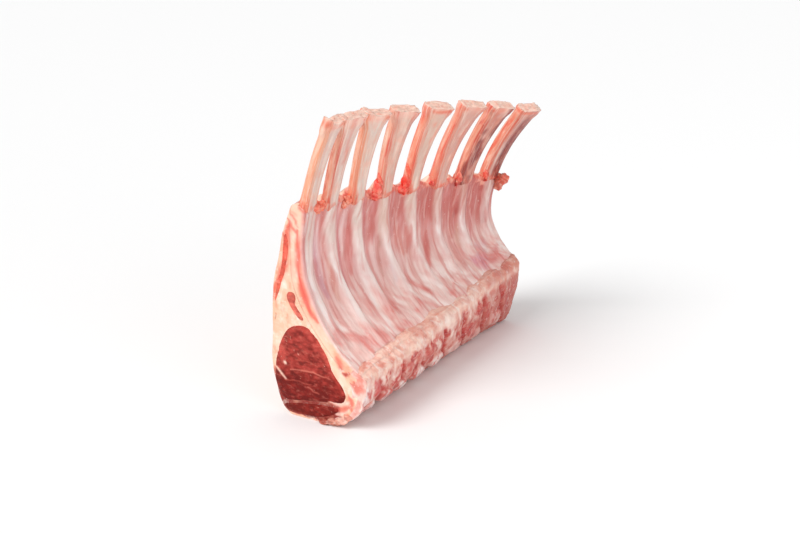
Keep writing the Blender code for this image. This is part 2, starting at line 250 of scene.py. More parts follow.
def cubeShell(counts, plain=()):
    # the six faces of a lattice of counts[0] x counts[1] x counts[2] points, welded by their
    # place in it; faces named in plain get a coarse middle that is laced to their fine border;
    # gives each point's three shares along the lattice, the quads and the triangles
    quads, triangles = [], []
    counts = np.array(counts)

    def key(axis, side, u, v):
        # one whole number for each place in the lattice
        place = np.zeros(np.broadcast(u, v).shape + (3,), int)
        place[..., axis] = (counts[axis] - 1) * side
        place[..., (axis + 1) % 3] = u
        place[..., (axis + 2) % 3] = v
        return (place[..., 0] * counts[1] + place[..., 1]) * counts[2] + place[..., 2]

    def grid(axis, side, us, vs):
        # a face of quads, turned outwards
        u, v = np.meshgrid(us, vs, indexing="ij")
        keys = key(axis, side, u, v)
        cells = np.stack([keys[:-1, :-1], keys[1:, :-1], keys[1:, 1:], keys[:-1, 1:]], -1)
        cells = cells.reshape(-1, 4)
        quads.append(cells if side else cells[:, ::-1])

    for axis in range(3):
        nu, nv = counts[(axis + 1) % 3], counts[(axis + 2) % 3]
        for side in (0, 1):
            if (axis, side) not in plain:
                grid(axis, side, np.arange(nu), np.arange(nv))
                continue
            us = np.unique(np.linspace(3, nu - 4, max(2, nu // 8)).astype(int))
            vs = np.unique(np.linspace(3, nv - 4, max(2, nv // 8)).astype(int))
            grid(axis, side, us, vs)
            u = np.concatenate([np.arange(nu), np.full(nv - 1, nu - 1), np.arange(nu - 1)[::-1],
                                np.zeros(nv - 1, int)])
            v = np.concatenate([np.zeros(nu, int), np.arange(1, nv), np.full(nu - 1, nv - 1),
                                np.arange(nv - 1)[::-1]])
            nearU = us[np.abs(us[None] - u[:, None]).argmin(1)]
            nearV = vs[np.abs(vs[None] - v[:, None]).argmin(1)]
            rim, inner = key(axis, side, u, v), key(axis, side, nearU, nearV)
            lace = np.stack([rim[:-1], rim[1:], inner[:-1]], -1)
            turn = np.stack([rim[1:], inner[1:], inner[:-1]], -1)[inner[1:] != inner[:-1]]
            cells = np.vstack([lace, turn])
            triangles.append(cells if side else cells[:, ::-1])
    quads = np.vstack(quads)
    triangles = np.vstack(triangles) if triangles else np.zeros((0, 3), int)
    keys, order = np.unique(np.concatenate([quads.ravel(), triangles.ravel()]), return_inverse=True)
    order = order.ravel()
    place = spot(keys // (counts[1] * counts[2]), keys // counts[2] % counts[1], keys % counts[2])
    shares = (place / (counts - 1)).T
    return shares, order[:quads.size].reshape(-1, 4), order[quads.size:].reshape(-1, 3)


def tubeShell(rows, around):
    # rows of closed rings; the first and last row are a single point each
    ring = np.arange((rows - 2) * around).reshape(rows - 2, around) + 1
    turned = np.roll(ring, -1, axis=1)
    quads = np.stack([ring[:-1], turned[:-1], turned[1:], ring[1:]], -1).reshape(-1, 4)
    last = (rows - 2) * around + 1
    first = np.stack([np.zeros(around, int), turned[0], ring[0]], -1)
    end = np.stack([np.full(around, last), ring[-1], turned[-1]], -1)
    return quads, np.vstack([first, end])


def tubePoints(rowsOfRings):
    # drops all but one point of the two end rows
    flat = rowsOfRings[1:-1].reshape(-1, rowsOfRings.shape[-1])
    return np.vstack([rowsOfRings[0, :1], flat, rowsOfRings[-1, :1]])


def linear(paint):
    # screen colour to light
    paint = np.clip(paint, 0.0, 1.0)
    return np.where(paint <= 0.04045, paint / 12.92, ((paint + 0.055) / 1.055) ** 2.4)


def makePiece(name, points, quads, triangles, paint, flow, material, slot, nodes=()):
    # points in centimetres; paint is the screen colour of each point, kept as "tint", and flow
    # is a coordinate that follows the fibres, kept as "flow"
    corners = points[triangles] if len(triangles) else np.zeros((0, 3, 3))
    sides = points[quads] if len(quads) else np.zeros((0, 4, 3))
    volume = np.einsum("ij,ij->", corners[:, 0], np.cross(corners[:, 1], corners[:, 2]))
    volume += np.einsum("ij,ij->", sides[:, 0], np.cross(sides[:, 1], sides[:, 2]))
    volume += np.einsum("ij,ij->", sides[:, 0], np.cross(sides[:, 2], sides[:, 3]))
    if volume < 0:
        quads, triangles = quads[:, ::-1], triangles[:, ::-1]
    mesh = bpy.data.meshes.new(name)
    mesh.vertices.add(len(points))
    mesh.vertices.foreach_set("co", (points * 0.01).ravel())
    loops = np.concatenate([quads.ravel(), triangles.ravel()])
    starts = np.concatenate([np.arange(len(quads)) * 4,
                             len(quads) * 4 + np.arange(len(triangles)) * 3])
    mesh.loops.add(len(loops))
    mesh.loops.foreach_set("vertex_index", loops)
    mesh.polygons.add(len(starts))
    mesh.polygons.foreach_set("loop_start", starts)
    mesh.update(calc_edges=True)
    mesh.validate()
    tint = mesh.attributes.new("tint", "FLOAT_COLOR", "POINT")
    colours = np.column_stack([linear(paint), np.ones(len(points))])
    tint.data.foreach_set("color", colours.ravel())
    fibre = mesh.attributes.new("flow", "FLOAT_VECTOR", "POINT")
    fibre.data.foreach_set("vector", flow.ravel())
    mesh.shade_smooth()
    mesh.materials.append(material)
    piece = bpy.data.objects.new(name, mesh)
    scene.collection.objects.link(piece)
    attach(piece, "root")
    if nodes:
        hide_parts(*nodes)
    print(name, len(quads) * 2 + len(triangles), "triangles")


def lay(paint, mask, colour, strength=1.0):
    # draws the paint towards a colour where the mask is high
    share = (np.clip(mask, 0.0, 1.0) * strength)[..., None]
    paint += (np.array(colour) / 255.0 - paint) * share


def coat(like, colour):
    # one screen colour all over
    return np.zeros(like.shape + (3,)) + np.array(colour) / 255.0


def stroke(u, v, path, width, taper=0.5):
    # 1 along a broken line, falling off over the width, which narrows towards both ends
    path = np.array(path, float)
    spans = np.linalg.norm(np.diff(path, axis=0), axis=1)
    before = np.concatenate([[0.0], np.cumsum(spans)]) / spans.sum()
    best = np.full(u.shape, 1e9)
    share = np.zeros(u.shape)
    for start, end, low, high in zip(path, path[1:], before, before[1:]):
        along = end - start
        f = np.clip(((u - start[0]) * along[0] + (v - start[1]) * along[1]) / (along @ along), 0, 1)
        away = np.hypot(u - start[0] - f * along[0], v - start[1] - f * along[1])
        nearer = away < best
        best = np.where(nearer, away, best)
        share = np.where(nearer, mix(low, high, f), share)
    local = width * (1.0 - taper * np.abs(2.0 * share - 1.0) ** 2)
    return np.exp(-((best / local) ** 2.6))


# what the flesh materials share; each one changes what differs
plainFlesh = {
    "fibreStretch": (1.0, 1.0, 1.0), "blotches": 0.35, "grainBump": 0.5, "depth": 0.05,
    "scatter": (1.0, 0.35, 0.25), "scatterScale": 0.0025, "coatRoughness": 0.22, "ior": 1.4,
    "gloss": 0.4, "fibreDetail": 4.0, "grainDetail": 5.0, "blotchDetail": 3.0,
}


def fleshMaterial(name, changes):
    # the tint attribute, varied by noise along the fibres and in space, flecked, with bump
    look = {**plainFlesh, **changes}
    material = bpy.data.materials.new(name)
    material.use_nodes = True
    nodes, links = material.node_tree.nodes, material.node_tree.links
    shader = nodes["Principled BSDF"]
    tint = nodes.new("ShaderNodeAttribute")
    tint.attribute_name = "tint"
    flow = nodes.new("ShaderNodeAttribute")
    flow.attribute_name = "flow"
    space = nodes.new("ShaderNodeTexCoord")

    def texture(source, stretch, scale, detail, rough=0.5):
        # noise on a coordinate that is first stretched
        mapping = nodes.new("ShaderNodeMapping")
        mapping.inputs["Scale"].default_value = stretch
        links.new(source, mapping.inputs["Vector"])
        made = nodes.new("ShaderNodeTexNoise")
        made.inputs["Scale"].default_value = scale
        made.inputs["Detail"].default_value = detail
        made.inputs["Roughness"].default_value = rough
        links.new(mapping.outputs["Vector"], made.inputs["Vector"])
        return made.outputs["Fac"]

    def spread(value, low, high, toLow, toHigh):
        # straight from one range to another, held at its ends
        made = nodes.new("ShaderNodeMapRange")
        for socket, number in (("From Min", low), ("From Max", high), ("To Min", toLow),
                               ("To Max", toHigh)):
            made.inputs[socket].default_value = number
        links.new(value, made.inputs["Value"])
        return made.outputs["Result"]

    def blended(first, second, share):
        # from the first colour to the second by the share
        made = nodes.new("ShaderNodeMix")
        made.data_type = "RGBA"
        for socket, value in ((made.inputs[0], share), (made.inputs[6], first),
                              (made.inputs[7], second)):
            if isinstance(value, bpy.types.NodeSocket):
                links.new(value, socket)
            else:
                socket.default_value = value
        return made.outputs[2]

    def shade(red, green, blue):
        # a screen colour as light
        return (*linear(np.array([red, green, blue]) / 255.0), 1.0)

    colour = tint.outputs["Color"]
    even, place = (1.0, 1.0, 1.0), space.outputs["Object"]
    fibres = texture(flow.outputs["Vector"], look["fibreStretch"], look["fibreScale"],
                     look["fibreDetail"], 0.6)
    grains = texture(place, even, look["grainScale"], look["grainDetail"], 0.6)
    blotches = texture(place, even, look["blotchScale"], look["blotchDetail"])
    fleckFrom = look["fleckFrom"]
    for pattern, low, high, tone, strength in (
            (fibres, 0.50, 0.72, "streak", "streaks"), (fibres, 0.46, 0.28, "pale", "pales"),
            (blotches, 0.52, 0.72, "blotch", "blotches"),
            (grains, fleckFrom, fleckFrom + 0.05, "fleck", "flecks")):
        share = spread(pattern, low, high, 0.0, look[strength])
        colour = blended(colour, shade(*look[tone]), share)
    links.new(colour, shader.inputs["Base Color"])
    links.new(spread(grains, 0.3, 0.7, *look["roughness"]), shader.inputs["Roughness"])
    normal = None
    for pattern, strength, depth in ((fibres, "fibreBump", 0.001), (grains, "grainBump", 0.0006)):
        bump = nodes.new("ShaderNodeBump")
        bump.inputs["Strength"].default_value = look[strength]
        bump.inputs["Distance"].default_value = depth
        links.new(pattern, bump.inputs["Height"])
        if normal:
            links.new(normal, bump.inputs["Normal"])
        normal = bump.outputs["Normal"]
    links.new(normal, shader.inputs["Normal"])
    for socket, setting in (
            ("Subsurface Weight", "depth"), ("Subsurface Radius", "scatter"),
            ("Subsurface Scale", "scatterScale"), ("Coat Weight", "wet"),
            ("Coat Roughness", "coatRoughness"), ("IOR", "ior"), ("Specular IOR Level", "gloss")):
        shader.inputs[socket].default_value = look[setting]
    return material


leanMeat = fleshMaterial("leanMeat", {
    "fibreScale": 2.6, "streak": (96, 18, 16), "streaks": 0.45, "pale": (214, 120, 104),
    "pales": 0.35, "grainScale": 520.0, "blotchScale": 120.0, "blotch": (112, 26, 22),
    "fleck": (236, 178, 158), "flecks": 0.6, "fleckFrom": 0.66, "roughness": (0.30, 0.50),
    "fibreBump": 0.35, "wet": 0.06, "gloss": 0.15,
})
ribFlesh = fleshMaterial("ribFlesh", {
    "fibreStretch": (2.2, 0.22, 0.5), "fibreScale": 1.8, "streak": (205, 108, 104),
    "streaks": 0.20, "pale": (246, 232, 226), "pales": 0.22, "grainScale": 420.0,
    "blotchScale": 90.0, "blotch": (222, 146, 142), "blotches": 0.30, "fleck": (250, 240, 234),
    "flecks": 0.25, "fleckFrom": 0.64, "roughness": (0.28, 0.48), "fibreBump": 0.5,
    "grainBump": 0.45, "depth": 0.06, "wet": 0.25,
})
bodyFat = fleshMaterial("bodyFat", {
    "fibreScale": 1.6, "streak": (244, 176, 146), "streaks": 0.35, "pale": (254, 240, 226),
    "pales": 0.5, "grainScale": 480.0, "blotchScale": 70.0, "blotch": (247, 186, 160),
    "fleck": (255, 244, 232), "flecks": 0.3, "fleckFrom": 0.62, "roughness": (0.34, 0.55),
    "fibreBump": 0.3, "depth": 0.10, "wet": 0.12,
})
ribBone = fleshMaterial("ribBone", {
    "fibreStretch": (3.2, 0.30, 1.0), "fibreScale": 2.6, "streak": (232, 132, 104),
    "streaks": 0.42, "pale": (252, 226, 208), "pales": 0.4, "grainScale": 460.0,
    "blotchScale": 110.0, "blotch": (240, 160, 132), "fleck": (252, 232, 220), "flecks": 0.2,
    "fleckFrom": 0.64, "roughness": (0.32, 0.52), "fibreBump": 0.6, "grainBump": 0.4,
    "wet": 0.15,
})
sawnBone = fleshMaterial("sawnBone", {
    "fibreStretch": (1.0, 0.8, 1.0), "fibreScale": 2.2, "streak": (206, 112, 100),
    "streaks": 0.45, "pale": (250, 230, 222), "pales": 0.3, "grainScale": 380.0,
    "blotchScale": 130.0, "blotch": (208, 108, 96), "blotches": 0.50,
    "fleck": (250, 238, 232), "flecks": 0.35, "fleckFrom": 0.60, "roughness": (0.32, 0.55),
    "fibreBump": 0.7, "grainBump": 0.8, "wet": 0.22,
})
cutShreds = fleshMaterial("cutShreds", {
    "fibreScale": 3.2, "streak": (206, 52, 44), "streaks": 0.45, "pale": (250, 176, 148),
    "pales": 0.45, "grainScale": 620.0, "blotchScale": 260.0, "blotch": (250, 190, 164),
    "blotches": 0.4, "fleck": (252, 206, 186), "flecks": 0.35, "fleckFrom": 0.62,
    "roughness": (0.28, 0.45), "fibreBump": 0.5, "depth": 0.2, "wet": 0.25,
})
print("materials made")


def unevenness(points, size, seed, scale=0.9):
    # a soft push of every point, the same for pieces that touch there
    return points + size * spot(*[cloud(points * scale + 7.0 * axis, seed + 10 * axis, 3)
                                  for axis in range(3)])


ribs = {
    "lips": (0.30, 0.08), "around": 72, "rows": 190, "cap": 14,
    # colours: side towards the loin, its orange tissue painted lighter as the lit side; inner face;
    # side towards the shoulder, painted darker as its shaded side, over dark red tissue on the last
    # bones
    "near": ((246, 196, 172), (244, 178, 152), (242, 182, 154), (234, 166, 138), (238, 150, 122),
             (228, 150, 126), (220, 142, 116), (222, 140, 114)),
    "inner": ((216, 190, 180), (216, 190, 180), (218, 196, 184), (212, 172, 156),
              (216, 184, 168), (212, 160, 146), (204, 142, 126), (206, 168, 158)),
    "far": ((226, 192, 180), (226, 182, 172), (222, 174, 166), (204, 132, 124), (202, 140, 130),
            (190, 108, 102), (160, 72, 64), (108, 20, 20)),
    "line": ((240, 150, 110), (206, 60, 44), (236, 138, 104), (226, 88, 74), (232, 80, 56),
             (232, 92, 70), (200, 70, 56), (222, 92, 70)),
}


# the meat that holds the ribs: its inner skin shows a ridge over each rib
def raggedTop(t):
    # the meat line, with uneven nicks where the bones were cleaned
    row = spot(np.asarray(t) * spineLength * 1.9, 4.3, 9.1)
    return meatLine(t) + 0.022 * cloud(row, 31, 4) + 0.014 * ribNearness(t, meatLine(t), 0.5)


def skinDepth(t, s):
    # recessed between the ribs, a little proud over them, sinking under the bone at the top
    ridges = ribNearness(t, s, mix(0.36, 0.56, climb(s, 0.2, 0.6))) * climb(s, 0.03, 0.17)
    flatPart = mix(rack["recess"], 0.10, 1.0 - climb(s, 0.0, 0.12))
    depth = mix(flatPart, -0.035, ridges)
    top = raggedTop(t)
    # next to the loin cut the skin stands out over the lean
    swell = (0.15 + 0.21 * hump(s, 0.32, 0.10)) * ease(s, 0.08, 0.22) * (1.0 - ease(t, 0.004, 0.05))
    depth = mix(depth, -swell, 1.0 - ease(t, 0.0, 0.05))
    return depth + 0.13 * ridges * ease(s, top - 0.045, top - 0.012)


def backDepth(t, s):
    # how far behind the inner line the fat begins, growing straight up to the meat line
    return mix(*rack["fatDepth"], climb(s, 0.42, meatLine(t)))


def skinPaint(t, s):
    # pale ridges over the ribs, lilac to red hollows between them, and a streaky pink gutter
    y, h = t * spineLength, s * rack["height"]
    warp = spot(y * 0.8, h * 0.35, 0.0)
    y = y + 0.14 * cloud(warp, 51, 3)
    h = h + 0.35 * cloud(warp, 57, 2)
    tt, ss = y / spineLength, h / rack["height"]
    far = ease(tt + 0.25 * (ss - 0.4), 0.25, 0.90)
    high = ease(ss, 0.22, 0.50)
    paint = coat(t, (228, 184, 178))
    lay(paint, high, (218, 164, 160))
    lay(paint, far * high, (190, 88, 78), 0.95)
    lay(paint, 1.0 - ease(ss, 0.10, 0.30), (238, 198, 188), 0.8)
    for colour, strength, width, path in skinStrokes:
        line = [(a * spineLength, b * rack["height"]) for a, b in path]
        lay(paint, stroke(y, h, line, width), colour, 0.65 * strength)
    # streaks along the ribs, then across in the gutter
    streaks = cloud(spot(y * 5.0, h * 0.30, 2.0), 61, 3)
    lay(paint, climb(streaks, 0.2, 0.8) * ease(ss, 0.08, 0.2), (246, 234, 230), 0.25)
    lay(paint, climb(-streaks, 0.2, 0.75) * ease(ss, 0.08, 0.2), (196, 112, 112), 0.25)
    # between the ridges the meat shows through, redder towards the shoulder and the meat line
    between = (1.0 - ribNearness(tt, ss, 0.50)) * ease(ss, 0.16, 0.34)
    soft = cloud(spot(y * 1.2, h * 0.5, 8.0), 63, 3)
    lay(paint, between * climb(soft + 0.8 * far, 0.0, 0.7), (188, 84, 74), 0.65)
    # each rib's ridge: whitish low down, its bone's own colour near the meat line, with a painted
    # highlight along the crest on its loin side and painted shade, dark red, in the fold on its
    # shoulder side
    for index in range(ribCount):
        away = (tt - ribOnSkin(index, ss)) * spineLength
        wide = mix(0.26, 0.46, ease(ss, 0.15, 0.55))
        body = np.exp(-np.abs(away / wide) ** 3.5) * ease(ss, 0.06, 0.20)
        lay(paint, body, (238, 218, 212), mix(0.85, 0.35, far))
        lay(paint, body * ease(ss, 0.30, 0.52), ribs["inner"][index], 0.85)
        # noise that breaks up the painted highlight along the crest
        highlightBreaks = climb(cloud(spot(y * 0.6, h * 0.8, index), 73, 2), -0.4, 0.4)
        crestHighlight = hump(away + 0.4 * wide, 0.0, 0.15) * body * highlightBreaks * (1.0 - ease(ss, 0.34, 0.52))
        lay(paint, crestHighlight, (252, 242, 238), 0.75)
        # painted shade in the fold on the ridge's shoulder side, in the bone's far-side colour
        foldShade = hump(away - wide - 0.12, 0.0, 0.13) * ease(ss, 0.18, 0.36)
        lay(paint, foldShade, ribs["far"][index], mix(0.45, 0.80, far))
        lay(paint, hump(away + wide + 0.12, 0.0, 0.11) * ease(ss, 0.30, 0.50), (190, 88, 80), 0.6)
    gutter = 1.0 - ease(ss, 0.08, 0.24)
    bend = 1.6 * cloud(spot(y * 0.4, h * 0.5, 3.0), 65, 2)
    swirl = cloud(spot(y * 2.0 + h * 1.3 + bend, h * 0.9 - y * 0.2, 0.0), 67, 4)
    lay(paint, climb(swirl, 0.05, 0.45) * gutter, (252, 234, 228), 0.8)
    lay(paint, climb(-swirl, 0.1, 0.55) * gutter, (222, 116, 108), 0.6)
    # fine threads, light and dark
    threads = cloud(spot(y * 4.2 + bend, h * 0.55, 6.0), 75, 3)
    lay(paint, climb(threads, 0.12, 0.40), (252, 240, 234), 0.32)
    lay(paint, climb(-threads, 0.12, 0.40), (196, 88, 80), 0.32)
    # orange-pink shreds of cut meat under the meat line
    top = raggedTop(t)
    tatters = cloud(spot(t * spineLength * 2.4, s * 34.0, 0.0), 69, 4)
    rim = ease(s + 0.05 * tatters, top - 0.045, top - 0.012)
    rim = rim * (1.0 - ribNearness(t, s, 0.46))
    lay(paint, rim, (228, 118, 98), 0.75)
    lay(paint, rim * climb(tatters, 0.0, 0.4), (250, 190, 166), 0.7)
    lay(paint, rim * climb(-tatters, 0.1, 0.5), (206, 52, 42), 0.7)
    return paint


# colour, strength, width in centimetres, and a path through t and s
skinStrokes = [
    ((200, 188, 196), 0.75, 0.16, [(0.006, 0.62), (0.010, 0.50), (0.020, 0.36)]),
    ((246, 240, 238), 0.85, 0.22, [(0.022, 0.44), (0.034, 0.32), (0.048, 0.20), (0.060, 0.13)]),
    ((206, 166, 184), 0.85, 0.34, [(0.058, 0.57), (0.066, 0.46), (0.080, 0.34), (0.090, 0.24)]),
    ((240, 226, 226), 0.70, 0.10, [(0.084, 0.56), (0.090, 0.42), (0.100, 0.30)]),
    ((232, 176, 170), 0.70, 0.26, [(0.112, 0.56), (0.116, 0.44), (0.128, 0.34)]),
    ((226, 160, 138), 0.60, 0.22, [(0.126, 0.38), (0.132, 0.31), (0.130, 0.22)]),
    ((247, 238, 234), 0.85, 0.26, [(0.136, 0.46), (0.158, 0.36), (0.162, 0.24), (0.156, 0.14)]),
    ((196, 112, 124), 0.85, 0.18, [(0.160, 0.57), (0.174, 0.46), (0.186, 0.34), (0.190, 0.22)]),
    ((238, 210, 206), 0.60, 0.12, [(0.196, 0.56), (0.203, 0.42), (0.208, 0.30)]),
    ((216, 112, 106), 0.85, 0.30, [(0.220, 0.53), (0.226, 0.44), (0.232, 0.36), (0.228, 0.28)]),
    ((214, 188, 180), 0.60, 0.16, [(0.246, 0.58), (0.254, 0.48), (0.262, 0.40)]),
    ((246, 236, 232), 0.85, 0.26, [(0.266, 0.52), (0.272, 0.38), (0.270, 0.26), (0.262, 0.14)]),
    ((190, 116, 128), 0.80, 0.18, [(0.284, 0.58), (0.294, 0.46), (0.300, 0.34), (0.290, 0.22)]),
    ((240, 214, 210), 0.60, 0.10, [(0.308, 0.56), (0.316, 0.44), (0.322, 0.34)]),
    ((214, 124, 122), 0.75, 0.26, [(0.330, 0.57), (0.338, 0.46), (0.338, 0.36)]),
    ((196, 160, 146), 0.80, 0.24, [(0.366, 0.58), (0.374, 0.46), (0.378, 0.34)]),
    ((192, 122, 110), 0.70, 0.18, [(0.372, 0.36), (0.364, 0.28), (0.356, 0.23)]),
    ((226, 214, 216), 0.80, 0.24, [(0.404, 0.54), (0.412, 0.42), (0.412, 0.30), (0.400, 0.18)]),
    ((190, 126, 134), 0.60, 0.14, [(0.430, 0.55), (0.440, 0.44), (0.442, 0.36)]),
    ((204, 104, 92), 0.90, 0.46, [(0.462, 0.40), (0.474, 0.32), (0.486, 0.26)]),
    ((200, 96, 84), 0.70, 0.20, [(0.508, 0.38), (0.512, 0.32), (0.504, 0.25)]),
    ((200, 154, 142), 0.65, 0.26, [(0.506, 0.56), (0.512, 0.46), (0.516, 0.40)]),
    ((214, 186, 192), 0.70, 0.26, [(0.545, 0.52), (0.556, 0.40), (0.552, 0.28)]),
    ((198, 138, 134), 0.60, 0.28, [(0.575, 0.54), (0.588, 0.44), (0.590, 0.34)]),
    ((196, 76, 66), 0.90, 0.30, [(0.620, 0.30), (0.616, 0.25), (0.600, 0.20), (0.580, 0.15)]),
    ((204, 168, 158), 0.60, 0.30, [(0.640, 0.54), (0.650, 0.42), (0.648, 0.34)]),
    ((186, 96, 96), 0.65, 0.20, [(0.662, 0.56), (0.672, 0.44), (0.668, 0.34)]),
    ((216, 182, 182), 0.60, 0.26, [(0.690, 0.48), (0.690, 0.34), (0.676, 0.22)]),
    ((196, 84, 72), 0.90, 0.42, [(0.742, 0.53), (0.752, 0.42), (0.758, 0.32), (0.744, 0.22)]),
    ((150, 34, 30), 0.90, 0.22, [(0.785, 0.52), (0.792, 0.45), (0.788, 0.39), (0.770, 0.33)]),
    ((222, 178, 152), 0.70, 0.20, [(0.790, 0.30), (0.778, 0.24), (0.764, 0.17)]),
    ((206, 156, 160), 0.60, 0.34, [(0.828, 0.48), (0.834, 0.38), (0.818, 0.28)]),
    ((196, 92, 96), 0.75, 0.18, [(0.892, 0.46), (0.886, 0.34), (0.866, 0.24), (0.846, 0.17)]),
    ((196, 160, 156), 0.60, 0.44, [(0.935, 0.50), (0.938, 0.38), (0.925, 0.26)]),
    ((212, 128, 118), 0.70, 0.32, [(0.985, 0.50), (0.985, 0.40), (0.975, 0.28)]),
    ((196, 92, 124), 0.70, 0.50, [(0.800, 0.10), (0.830, 0.07), (0.860, 0.08)]),
    ((222, 196, 208), 0.60, 0.34, [(0.850, 0.14), (0.880, 0.12), (0.910, 0.14)]),
    ((206, 98, 96), 0.60, 0.34, [(0.870, 0.05), (0.910, 0.06), (0.950, 0.09)]),
    ((226, 120, 112), 0.60, 0.16, [(0.400, 0.055), (0.425, 0.048), (0.435, 0.06)]),
    ((222, 110, 100), 0.60, 0.12, [(0.580, 0.025), (0.620, 0.030), (0.650, 0.045)]),
]
meatBlock = {"counts": (340, 150, 8), "foot": -0.015}


def makeRibMeat():
    # a block along t and up s, from the fat behind it to the skin in front of the inner line
    (t, a, b), quads, triangles = cubeShell(meatBlock["counts"], plain=((2, 0),))
    s = mix(meatBlock["foot"], raggedTop(t), a)
    lineX, lineZ = innerLine(t, s)
    intoX, intoZ = intoMeat(t, s)
    # the top edge is rounded: both skins draw together over the last of the height
    rounding = 1.0 - np.sqrt(1.0 - climb(a, 0.955, 1.0) ** 2 * 0.98)
    depth = mix(backDepth(t, s), skinDepth(t, s), b)
    depth = mix(depth, 0.46, rounding * 0.75)
    points = toWorld(lineX + intoX * depth, t, lineZ + intoZ * depth)
    folds = cloud(spot(t * 74.0, s * 5.0, 0.0), 41, 3)
    wrinkles = cloud(spot(t * 22.0 + s * 12.0, s * 30.0 - t * 14.0, 0.0), 45, 3)
    proud = b * (0.030 * folds * ease(s, 0.08, 0.2) + 0.055 * wrinkles * (1.0 - ease(s, 0.06, 0.2)))
    points[:, 0] -= intoX * proud
    points[:, 2] -= intoZ * proud
    # the cut top is torn into small peaks
    torn = cloud(points * np.array([2.6, 2.6, 1.0]), 47, 4) * ease(a, 0.93, 0.99)
    points[:, 2] += 0.20 * torn * ease(t, 0.0, 0.02) * ease(1.0 - t, 0.0, 0.02)
    points = unevenness(points, rack["touch"], 71)
    paint = skinPaint(t, s)
    # the cut edges and the back carry on from the fat
    section = endPaint(lineX + intoX * depth, lineZ + intoZ * depth, t)
    lay(section, ease(a, 0.95, 0.99) * climb(torn, -0.1, 0.2), (250, 206, 184), 0.7)
    lay(section, ease(a, 0.95, 0.99) * climb(-torn, -0.05, 0.25), (204, 72, 58), 0.75)
    inside = 1.0 - ease(b, 0.70, 0.97)
    paint = mix(paint, section, inside[:, None])
    flow = spot(t * spineLength, s * rack["height"], b)
    makePiece("ribMeat", points, quads, triangles, paint, flow, ribFlesh, "rib_flesh", ["rib_meat"])


# fat over the back of the rack, with its two cut faces: outer and core lines in x and z
outerLoin = pathThrough([(-3.10, 0.0), (-3.58, 0.42), (-3.92, 1.3), (-4.25, 2.9), (-4.08, 4.4),
                         (-3.96, 6.2), (-3.72, 7.5), (-3.36, 8.8), (-3.06, 9.9), (-2.72, 10.7)])
outerShoulder = pathThrough([(-2.95, 0.0), (-3.42, 0.45), (-3.75, 1.5), (-3.88, 2.8),
                             (-3.76, 4.2), (-3.45, 5.6), (-3.10, 6.7), (-2.75, 7.6),
                             (-2.40, 8.3), (-2.05, 8.8)])
coreEnds = (((-0.20, 0.0), (0.80, 0.85), (1.30, 1.8), (1.15, 2.6), (0.95, 3.25)),
            ((-0.40, 0.0), (-0.20, 1.0), (0.0, 2.2), (0.05, 3.2), (0.05, 4.15)))
fatBlock = {"counts": (130, 230, 76), "coreShare": 0.30, "edge": 0.16, "lumps": 0.10}

# the loin's cut face in x and z: colour, strength, width, path
loinStrokes = [
    ((248, 176, 142), 0.60, 0.22, [(-3.95, 6.4), (-3.90, 5.4), (-3.86, 4.6)]),
    ((226, 92, 72), 0.95, 0.20, [(-2.38, 10.75), (-2.62, 10.2), (-2.66, 9.6), (-2.74, 9.0)]),
    ((228, 96, 76), 0.95, 0.20, [(-2.74, 9.2), (-2.95, 8.4), (-3.25, 7.7), (-3.62, 7.0)]),
    ((230, 112, 88), 0.85, 0.15, [(-3.45, 7.4), (-3.70, 6.8), (-3.82, 6.3)]),
    ((232, 116, 100), 0.90, 0.09, [(-2.55, 11.0), (-2.22, 10.5), (-1.95, 10.2)]),
    ((236, 120, 104), 0.80, 0.08, [(-2.30, 11.3), (-2.05, 11.0), (-1.95, 10.6)]),
    ((228, 92, 72), 0.95, 0.16, [(-1.92, 10.4), (-2.02, 9.5), (-2.08, 8.6), (-2.02, 7.8)]),
    ((226, 84, 66), 0.95, 0.22, [(-2.00, 8.0), (-1.88, 7.3), (-1.72, 6.6), (-1.50, 6.1)]),
    ((230, 100, 80), 0.90, 0.16, [(-1.55, 6.2), (-1.30, 5.9), (-1.08, 5.6)]),
    ((226, 108, 92), 0.85, 0.20, [(0.02, 3.9), (0.22, 3.55), (0.38, 3.3)]),
    ((176, 52, 44), 0.90, 0.12, [(0.45, 3.15), (0.62, 3.08), (0.80, 3.2)]),
    ((224, 110, 94), 0.85, 0.16, [(1.05, 2.75), (1.15, 2.45), (1.22, 2.25)]),
    ((222, 106, 90), 0.85, 0.16, [(0.78, 1.85), (0.95, 1.55), (0.98, 1.20)]),
    ((246, 204, 176), 0.90, 0.22, [(-1.30, 5.25), (-0.75, 4.55), (-0.20, 3.75), (0.10, 3.1)]),
    ((248, 208, 184), 0.90, 0.16, [(0.10, 3.1), (0.50, 2.65), (0.72, 2.3), (0.86, 1.9)]),
    ((244, 196, 180), 0.90, 0.16, [(-0.40, 1.30), (0.20, 1.28), (0.75, 1.50)]),
    ((250, 220, 206), 0.80, 0.14, [(-0.10, 0.70), (0.40, 0.80), (0.80, 1.10)]),
    ((206, 84, 72), 0.80, 0.16, [(0.10, 0.98), (0.45, 1.05), (0.80, 1.30)]),
    ((210, 92, 78), 0.75, 0.10, [(-2.9, 10.2), (-2.82, 9.8), (-2.80, 9.5)]),
    ((150, 90, 60), 0.70, 0.035, [(-3.72, 5.60), (-3.70, 5.42), (-3.73, 5.25)]),
]


